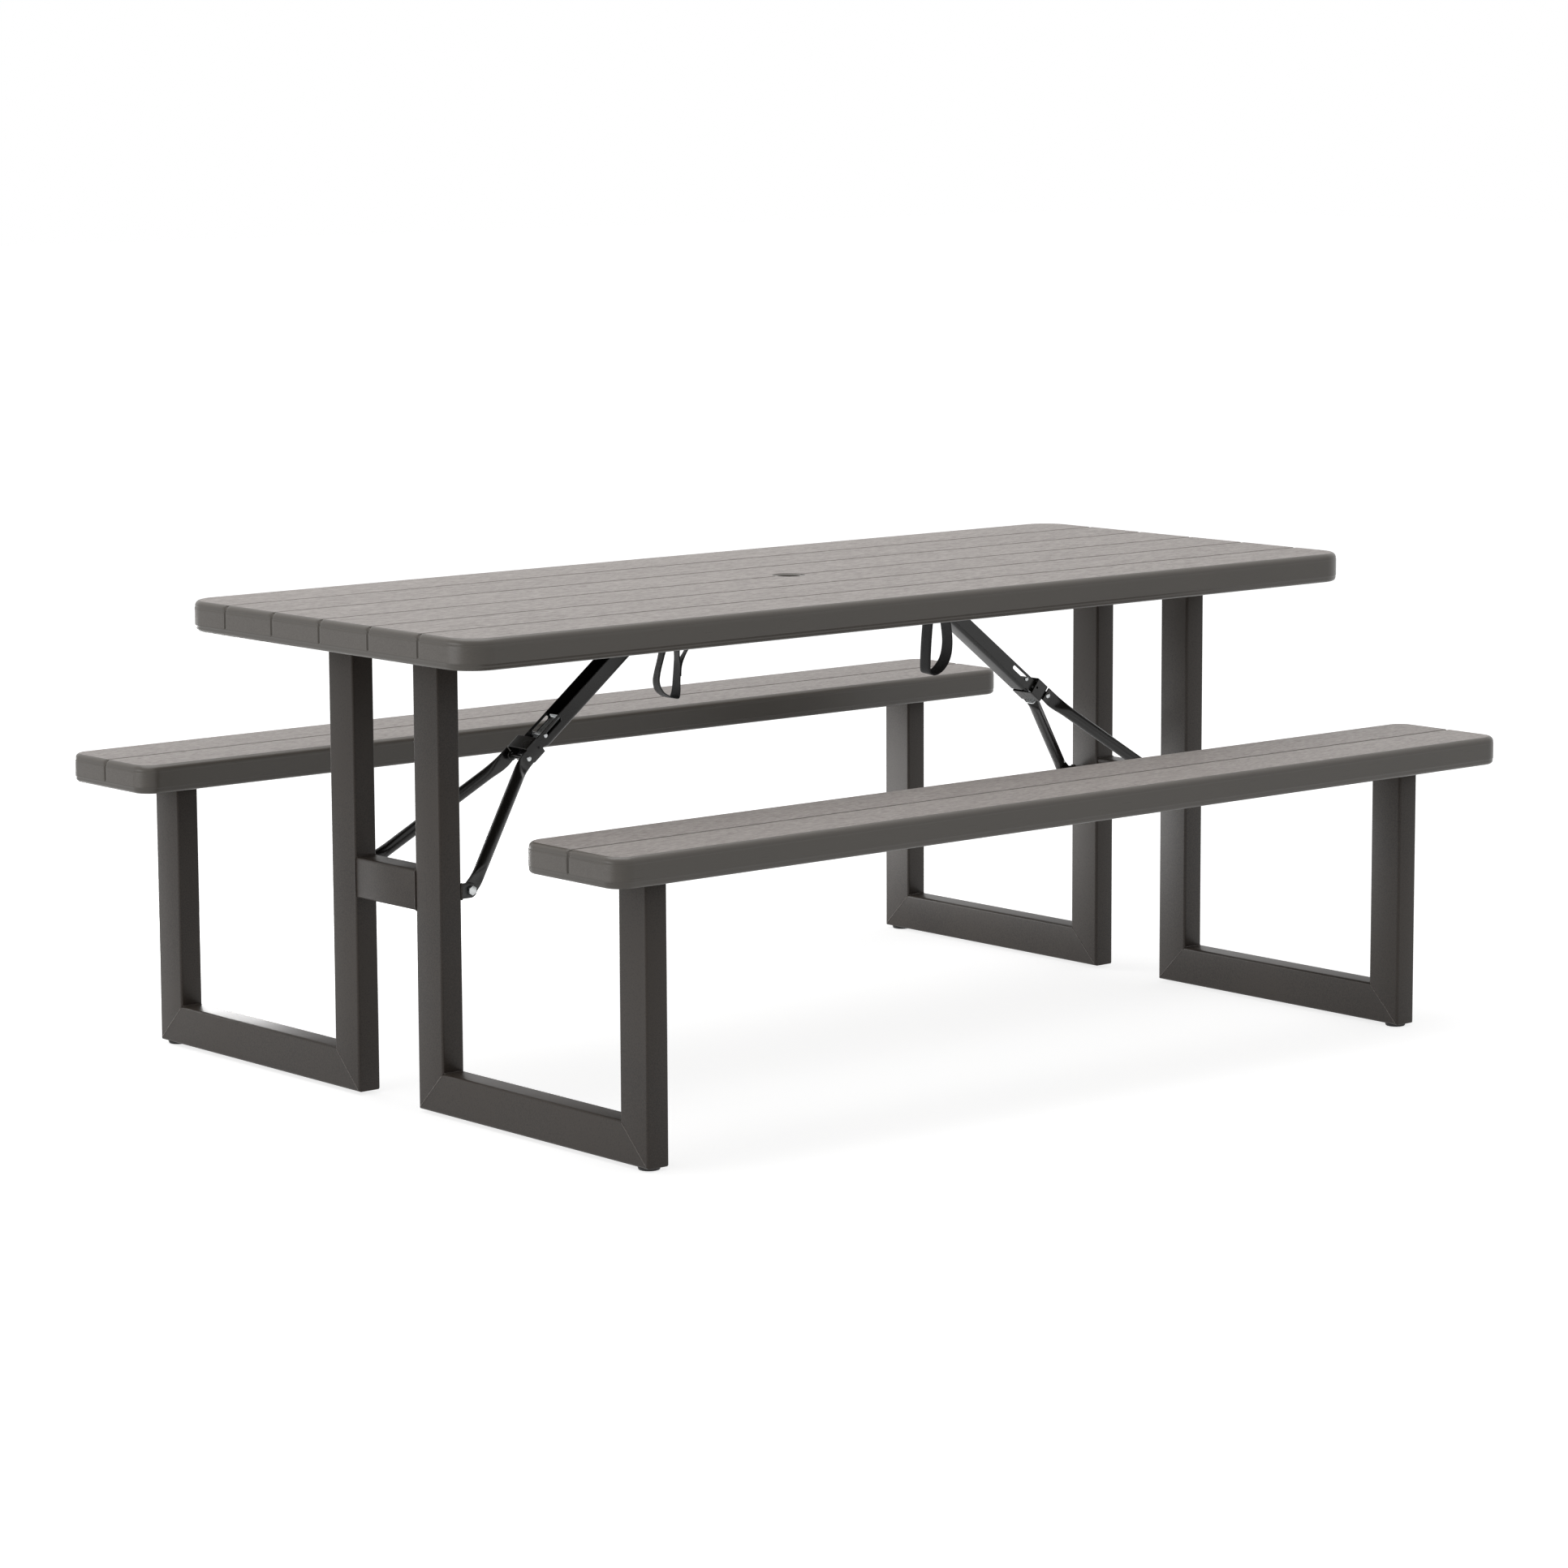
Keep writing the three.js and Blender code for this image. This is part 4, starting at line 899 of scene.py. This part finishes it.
# Lock plates: a zinc-plated strip inside each channel, riveted to the sleeve. It shows through the
# slots, its top end is turned up as a stop, and its foot hangs below the sleeve as a finger tab.
PLATE_HALF, PLATE_SHEET, PLATE_BEND = 11.0, 1.5, 2.5
PLATE_V, PLATE_END, STOP_HIGH = -2.25, 91.25, 4.0
TAB_U, TAB_LOW = 5.35, -21.5
GUIDE_PIN = ((-17.4, 3.0), (-12.0, 3.0), (-11.5, 2.6), (11.5, 2.6), (12.0, 3.0), (17.4, 3.0))
legs = (PLATE_V - TAB_LOW - PLATE_BEND, PLATE_END - TAB_U - 2 * PLATE_BEND, STOP_HIGH - PLATE_V - PLATE_BEND)
bend_run = PLATE_BEND * math.pi / 2
run_length = sum(legs) + 2 * bend_run
ends = arc(-PLATE_HALF + 4, 4, 4, 180, 270, 5) + arc(PLATE_HALF - 4, 4, 4, 270, 360, 5)
ends += arc(PLATE_HALF - 2, run_length - 2, 2, 0, 90, 4) + arc(-PLATE_HALF + 2, run_length - 2, 2, 90, 180, 4)
for end, ex in (("left", 1), ("right", -1)):
    lock_plate = fold_plate(
        f"{end}_lock_plate_folded", [ends], PLATE_SHEET, legs, (1, -1), PLATE_BEND,
        lambda y, s, t, ex=ex: along_brace(TAB_U + t, y, TAB_LOW + s, ex), zinc)
    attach(lock_plate, f"{end}_sleeve")
    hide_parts(f"{end}_lock_plate")
    guide = turned(f"{end}_guide_pin", GUIDE_PIN, SLOT_LOW, 0, ex, zinc)
    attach(guide, f"{end}_sleeve")

# Brace struts: two round steel tubes at each end, hammered flat at their tips. The flats widen, as a
# crushed tube does, and are drilled for the rivet at the mid pivot and the bolt at the ear.
STRUT_ANGLE = math.atan2(MID_Z - EAR_Z, MID_X - EAR_X)
STRUT_LENGTH = math.hypot(MID_Z - EAR_Z, MID_X - EAR_X)
STRUT_R, FLAT_HALF, FLAT_WIDE = 9.8, 1.5, 12.4
EYE_IN, EYE_OUT = 25.2, 131.6
EYE_TOP, EYE_ROUND = 5.5, 12.0
CRUSH_FROM, CRUSH_RUN = 9.0, 36.0
STRUT_SIDES = 40
DISH_SHARE = 0.3


def strut_path():
    """The strut's centre line in its own plane: flat tips joined by a straight slope."""
    stops = [Vector((EYE_TOP, -EYE_IN)), Vector((-16, -EYE_IN)), Vector((16 - STRUT_LENGTH, -EYE_OUT)),
             Vector((-STRUT_LENGTH - EYE_ROUND, -EYE_OUT))]
    ease = 13.0
    line_points = [stops[0]]
    for back, knee, on in zip(stops, stops[1:], stops[2:]):
        a = knee + (back - knee).normalized() * ease
        b = knee + (on - knee).normalized() * ease
        line_points += [a * (1 - t) ** 2 + knee * 2 * t * (1 - t) + b * t * t for t in (i / 8 for i in range(9))]
    line_points.append(stops[-1])
    dense = []
    for a, b in zip(line_points, line_points[1:]):
        count = max(1, int((b - a).length / 3.5))
        dense += [a + (b - a) * i / count for i in range(count)]
    return dense + [line_points[-1]]


def smooth_share(value):
    value = min(1.0, max(0.0, value))
    return value * value * (3 - 2 * value)


def strut_mesh(name, ex, sy):
    line_points = strut_path()
    points, faces, loops = [], [], []
    for i, spot in enumerate(line_points):
        back, on = line_points[max(0, i - 1)], line_points[min(len(line_points) - 1, i + 1)]
        run_way = (on - back).normalized()
        beside = Vector((-run_way.y, run_way.x))
        from_tip = min(-spot.x, STRUT_LENGTH + spot.x)
        crush = 1 - smooth_share((from_tip - CRUSH_FROM) / CRUSH_RUN)
        thin = STRUT_R + (FLAT_HALF - STRUT_R) * crush
        broad = STRUT_R + (FLAT_WIDE - STRUT_R) * crush
        past = -from_tip
        if past > 0 and spot.x < -EYE_ROUND:
            broad = max(2.0, EYE_ROUND * math.sqrt(max(0.0, 1 - (past / EYE_ROUND) ** 2)))
        broad = min(broad, EYE_ROUND + (FLAT_WIDE - EYE_ROUND) * smooth_share((from_tip + 4) / 16)) if from_tip < 12 else broad
        power = 1 - 0.6 * crush
        dish = (2 * thin - 2 * FLAT_HALF) * min(1.0, 1.2 * crush) * DISH_SHARE
        loop = []
        for k in range(STRUT_SIDES):
            turn = 2 * math.pi * k / STRUT_SIDES
            c, s = math.cos(turn), math.sin(turn)
            v = math.copysign(abs(s) ** power, s)
            hollow = dish * max(0.0, 1 - (v / 0.85) ** 2) if c > 0 else 0.0
            out = beside * (thin * math.copysign(abs(c) ** power, c) - hollow)
            v *= broad
            u, y = spot + out
            x = MID_X + u * math.cos(STRUT_ANGLE) - v * math.sin(STRUT_ANGLE)
            z = MID_Z + u * math.sin(STRUT_ANGLE) + v * math.cos(STRUT_ANGLE)
            loop.append(len(points))
            points.append((ex * x, sy * y, z))
        loops.append(loop)
    for a, b in zip(loops, loops[1:]):
        faces += [(a[i - 1], a[i], b[i], b[i - 1]) for i in range(STRUT_SIDES)]
    faces += [tuple(loops[0]), tuple(reversed(loops[-1]))]
    return mesh_piece(name, points, faces, black_paint)


for end, ex in (("left", 1), ("right", -1)):
    for side, sy in (("near", 1), ("far", -1)):
        strut = strut_mesh(f"{end}_{side}_strut_tube", ex, sy)
        strut.data.set_sharp_from_angle(angle=math.radians(50))
        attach(strut, f"{end}_struts")
        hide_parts(f"{end}_{side}_strut")

# Rivets: zinc-plated steel, upset cold into low domes. A pair closes each mid pivot over the strut
# flats, and a smaller pair holds the lock plate where it runs in the channel's slots.
MID_RIVET_R, MID_RIVET_HIGH, MID_RIVET_Y = 4.6, 2.6, 26.7
GUIDE_RIVET_R, GUIDE_RIVET_HIGH, GUIDE_RIVET_Y = 3.9, 2.0, 17.3
rivet_tree, given = node_group("rivet_heads", [
    ("Head radius", "NodeSocketFloat"), ("Head height", "NodeSocketFloat"), ("Plating", "NodeSocketMaterial")])
ball = add(rivet_tree, "GeometryNodeMeshUVSphere", [("Segments", 24), ("Rings", 12), ("Radius", 1.0)])
size = add(rivet_tree, "ShaderNodeCombineXYZ", [
    ("X", given.outputs["Head radius"]), ("Y", given.outputs["Head height"]), ("Z", given.outputs["Head radius"])])
dome = add(rivet_tree, "GeometryNodeTransform", [("Geometry", ball.outputs[0]), ("Scale", size.outputs[0])])
soft = add(rivet_tree, "GeometryNodeSetShadeSmooth", [("Geometry", dome.outputs[0])])
heads = add(rivet_tree, "GeometryNodeInstanceOnPoints", [
    ("Points", given.outputs["Geometry"]), ("Instance", soft.outputs[0])])
real = add(rivet_tree, "GeometryNodeRealizeInstances", [("Geometry", heads.outputs[0])])
plated = add(rivet_tree, "GeometryNodeSetMaterial", [
    ("Geometry", real.outputs[0]), ("Material", given.outputs["Plating"])])
add(rivet_tree, "NodeGroupOutput", [("Geometry", plated.outputs[0])])


def rivet_pair(name, body, u, v, y, radius, high, ex):
    seats = bpy.data.meshes.new(f"{name}_seats")
    seats.from_pydata([Vector(along_brace(u, s * y, v, ex)) * MM for s in (-1, 1)], [], [])
    heads_made = grown(name, seats, rivet_tree, {
        "Head radius": radius * MM, "Head height": high * MM, "Plating": zinc})
    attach(heads_made, body)


for end, ex in (("left", 1), ("right", -1)):
    rivet_pair(f"{end}_mid_rivets", f"{end}_struts", 0, 0, MID_RIVET_Y, MID_RIVET_R, MID_RIVET_HIGH, ex)
    rivet_pair(f"{end}_guide_rivets", f"{end}_sleeve", SLOT_LOW, 0, GUIDE_RIVET_Y, GUIDE_RIVET_R, GUIDE_RIVET_HIGH, ex)

# Storage straps: flat polypropylene webbing, sewn into an eye round each brace rod and hanging in a
# loop. The right one has a hard crease at its foot; the left one has turned on itself.
STRAP_WIDE, STRAP_THICK = 25.0, 1.5

# Woven polypropylene webbing: black yarns in a tight plain weave with rolled edges, matt with a
# little sheen; the real yarns are about a millimetre, drawn at one and a half to show.
YARN = 1.5
webbing, tree, shader = new_material("polypropylene_webbing_woven_black")
weave_at = add(tree, "ShaderNodeUVMap", [("uv_map", "weave")]).outputs[0]
rows_at = add(tree, "ShaderNodeMapping", [("Vector", weave_at), ("Scale", (1 / (YARN * MM), 1 / (YARN * MM), 1.0))])
check = add(tree, "ShaderNodeTexChecker", [("Vector", rows_at.outputs[0]), ("Scale", 1.0)])
ridge = add(tree, "ShaderNodeTexWave", [("Vector", rows_at.outputs[0]), ("Scale", 0.5), ("Distortion", 0.4)])
fuzz = add(tree, "ShaderNodeTexNoise", [("Vector", rows_at.outputs[0]), ("Scale", 2.0), ("Detail", 2.0)])
weave = add(tree, "ShaderNodeMath", [
    ("operation", "MULTIPLY_ADD"), (0, check.outputs["Fac"]), (1, 0.5), (2, ridge.outputs["Fac"])])
shades = add(tree, "ShaderNodeMix", [
    ("data_type", "RGBA"), (0, fuzz.outputs["Fac"]), (6, linear("#070708")), (7, linear("#151517"))])
dull = add(tree, "ShaderNodeMapRange", [("Value", fuzz.outputs["Fac"]), ("To Min", 0.65), ("To Max", 0.9)])
yarn_bump = add(tree, "ShaderNodeBump", [("Height", weave.outputs[0]), ("Strength", 0.6), ("Distance", 0.25 * MM)])
for socket, value in (("Base Color", shades.outputs[2]), ("Roughness", dull.outputs[0]), ("Normal", yarn_bump.outputs[0])):
    tree.links.new(value, shader.inputs[socket])
shader.inputs["Sheen Weight"].default_value = 0.1


def smooth_line(stops, step):
    """A smooth open curve through (x, y, z, twist) stops, at an even step."""
    dense = []
    for i in range(len(stops) - 1):
        p0, p1 = stops[max(0, i - 1)], stops[i]
        p2, p3 = stops[i + 1], stops[min(len(stops) - 1, i + 2)]
        for k in range(12):
            t = k / 12
            dense.append([
                0.5 * (2 * b + (c - a) * t + (2 * a - 5 * b + 4 * c - d) * t * t + (3 * b - a - 3 * c + d) * t ** 3)
                for a, b, c, d in zip(p0, p1, p2, p3)])
    dense.append(list(stops[-1]))
    spaced, run_to = [dense[0]], 0.0
    for a, b in zip(dense, dense[1:]):
        gap = (Vector(b[:3]) - Vector(a[:3])).length
        run_to += gap
        if run_to >= step:
            spaced.append(b)
            run_to = 0.0
    return spaced


def strap(name, body_node, stops, ex):
    """A ribbon swept along its line; twist in degrees turns its width out of the Y direction."""
    line_points = smooth_line(stops, 2.2)
    points, faces, weave_uv, loops = [], [], [], []
    section = [(-1, -0.25), (-0.97, 0.5), (-0.5, 0.5), (0, 0.5), (0.5, 0.5), (0.97, 0.5),
               (1, -0.25), (0.97, -0.5), (0.5, -0.5), (0, -0.5), (-0.5, -0.5), (-0.97, -0.5)]
    length = 0.0
    for i, stop in enumerate(line_points):
        spot = Vector(stop[:3])
        back = Vector(line_points[max(0, i - 1)][:3])
        on = Vector(line_points[min(len(line_points) - 1, i + 1)][:3])
        if i:
            length += (spot - back).length
        run_way = (on - back).normalized()
        wide_way = Vector((0, 1, 0)) - run_way * run_way.y
        wide_way = Matrix.Rotation(math.radians(stop[3]), 3, run_way) @ wide_way.normalized()
        out_way = run_way.cross(wide_way)
        loops.append(range(len(points), len(points) + len(section)))
        for a, b in section:
            p = spot + wide_way * a * STRAP_WIDE / 2 + out_way * b * STRAP_THICK
            points.append((ex * BRACE_ROD_X + p.x, p.y, BRACE_ROD_Z + p.z))
            weave_uv.append((length * MM, a * STRAP_WIDE / 2 * MM))
    for a, b in zip(loops, loops[1:]):
        faces += [(a[i - 1], a[i], b[i], b[i - 1]) for i in range(len(section))]
    faces += [tuple(loops[0]), tuple(reversed(loops[-1]))]
    piece = mesh_piece(name, points, faces, webbing)
    layer = piece.data.uv_layers.new(name="weave")
    for corner_made in piece.data.loops:
        layer.data[corner_made.index].uv = weave_uv[corner_made.vertex_index]
    piece.data.set_sharp_from_angle(angle=math.radians(60))
    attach(piece, "table")
    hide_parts(body_node)
    return piece


LEFT_Y, RIGHT_Y = -50.0, -34.0
left_stops = [
    (15.6, LEFT_Y, -92, -13), (16.8, LEFT_Y, -80, -15), (20.5, LEFT_Y, -71, -20), (28, LEFT_Y, -60, -25),
    (35, LEFT_Y, -49, -25),
    (34, LEFT_Y, -30, -12), (10, LEFT_Y, 3, 0), (0, LEFT_Y, 8.2, 0), (-8.6, LEFT_Y, -6, 4),
    (-12, LEFT_Y, -40, 12), (-18, LEFT_Y, -62, 17), (-25, LEFT_Y, -84, 17), (-27, LEFT_Y, -99, 14),
    (-21, LEFT_Y, -113, 6), (-9, LEFT_Y, -121.5, 0), (3, LEFT_Y, -125.5, 0), (9.5, LEFT_Y, -125, -3),
    (12.5, LEFT_Y, -114, -8), (13.5, LEFT_Y, -98, -12), (15, LEFT_Y, -78, -14), (14.5, LEFT_Y, -60, -20),
    (13, LEFT_Y, -36, -12), (10.2, LEFT_Y, 2, 0), (0, LEFT_Y, 10.6, 0), (-10.8, LEFT_Y, 0, 0), (-14, LEFT_Y, -22, 0)]
right_stops = [
    (9.5, RIGHT_Y, -30, 0), (8.8, RIGHT_Y, -8, 0), (0, RIGHT_Y, 8.2, 0), (-8.6, RIGHT_Y, -6, 0),
    (-16, RIGHT_Y, -40, 0), (-20, RIGHT_Y, -70, 0), (-22.5, RIGHT_Y, -100, 0), (-23.5, RIGHT_Y, -124, 0),
    (-22.5, RIGHT_Y, -133, 2), (-17, RIGHT_Y, -137, 4), (-6, RIGHT_Y, -136, 6), (8.5, RIGHT_Y, -128, 6),
    (20.5, RIGHT_Y, -112, 3), (25, RIGHT_Y, -90, 0), (23, RIGHT_Y, -66, 0), (17, RIGHT_Y, -36, 0),
    (10.2, RIGHT_Y, 2, 0), (0, RIGHT_Y, 10.6, 0), (-10.6, RIGHT_Y, 0, 0), (-14, RIGHT_Y, -26, 0)]
strap("left_strap_webbing", "left_strap", left_stops, 1)
strap("right_strap_webbing", "right_strap", right_stops, -1)
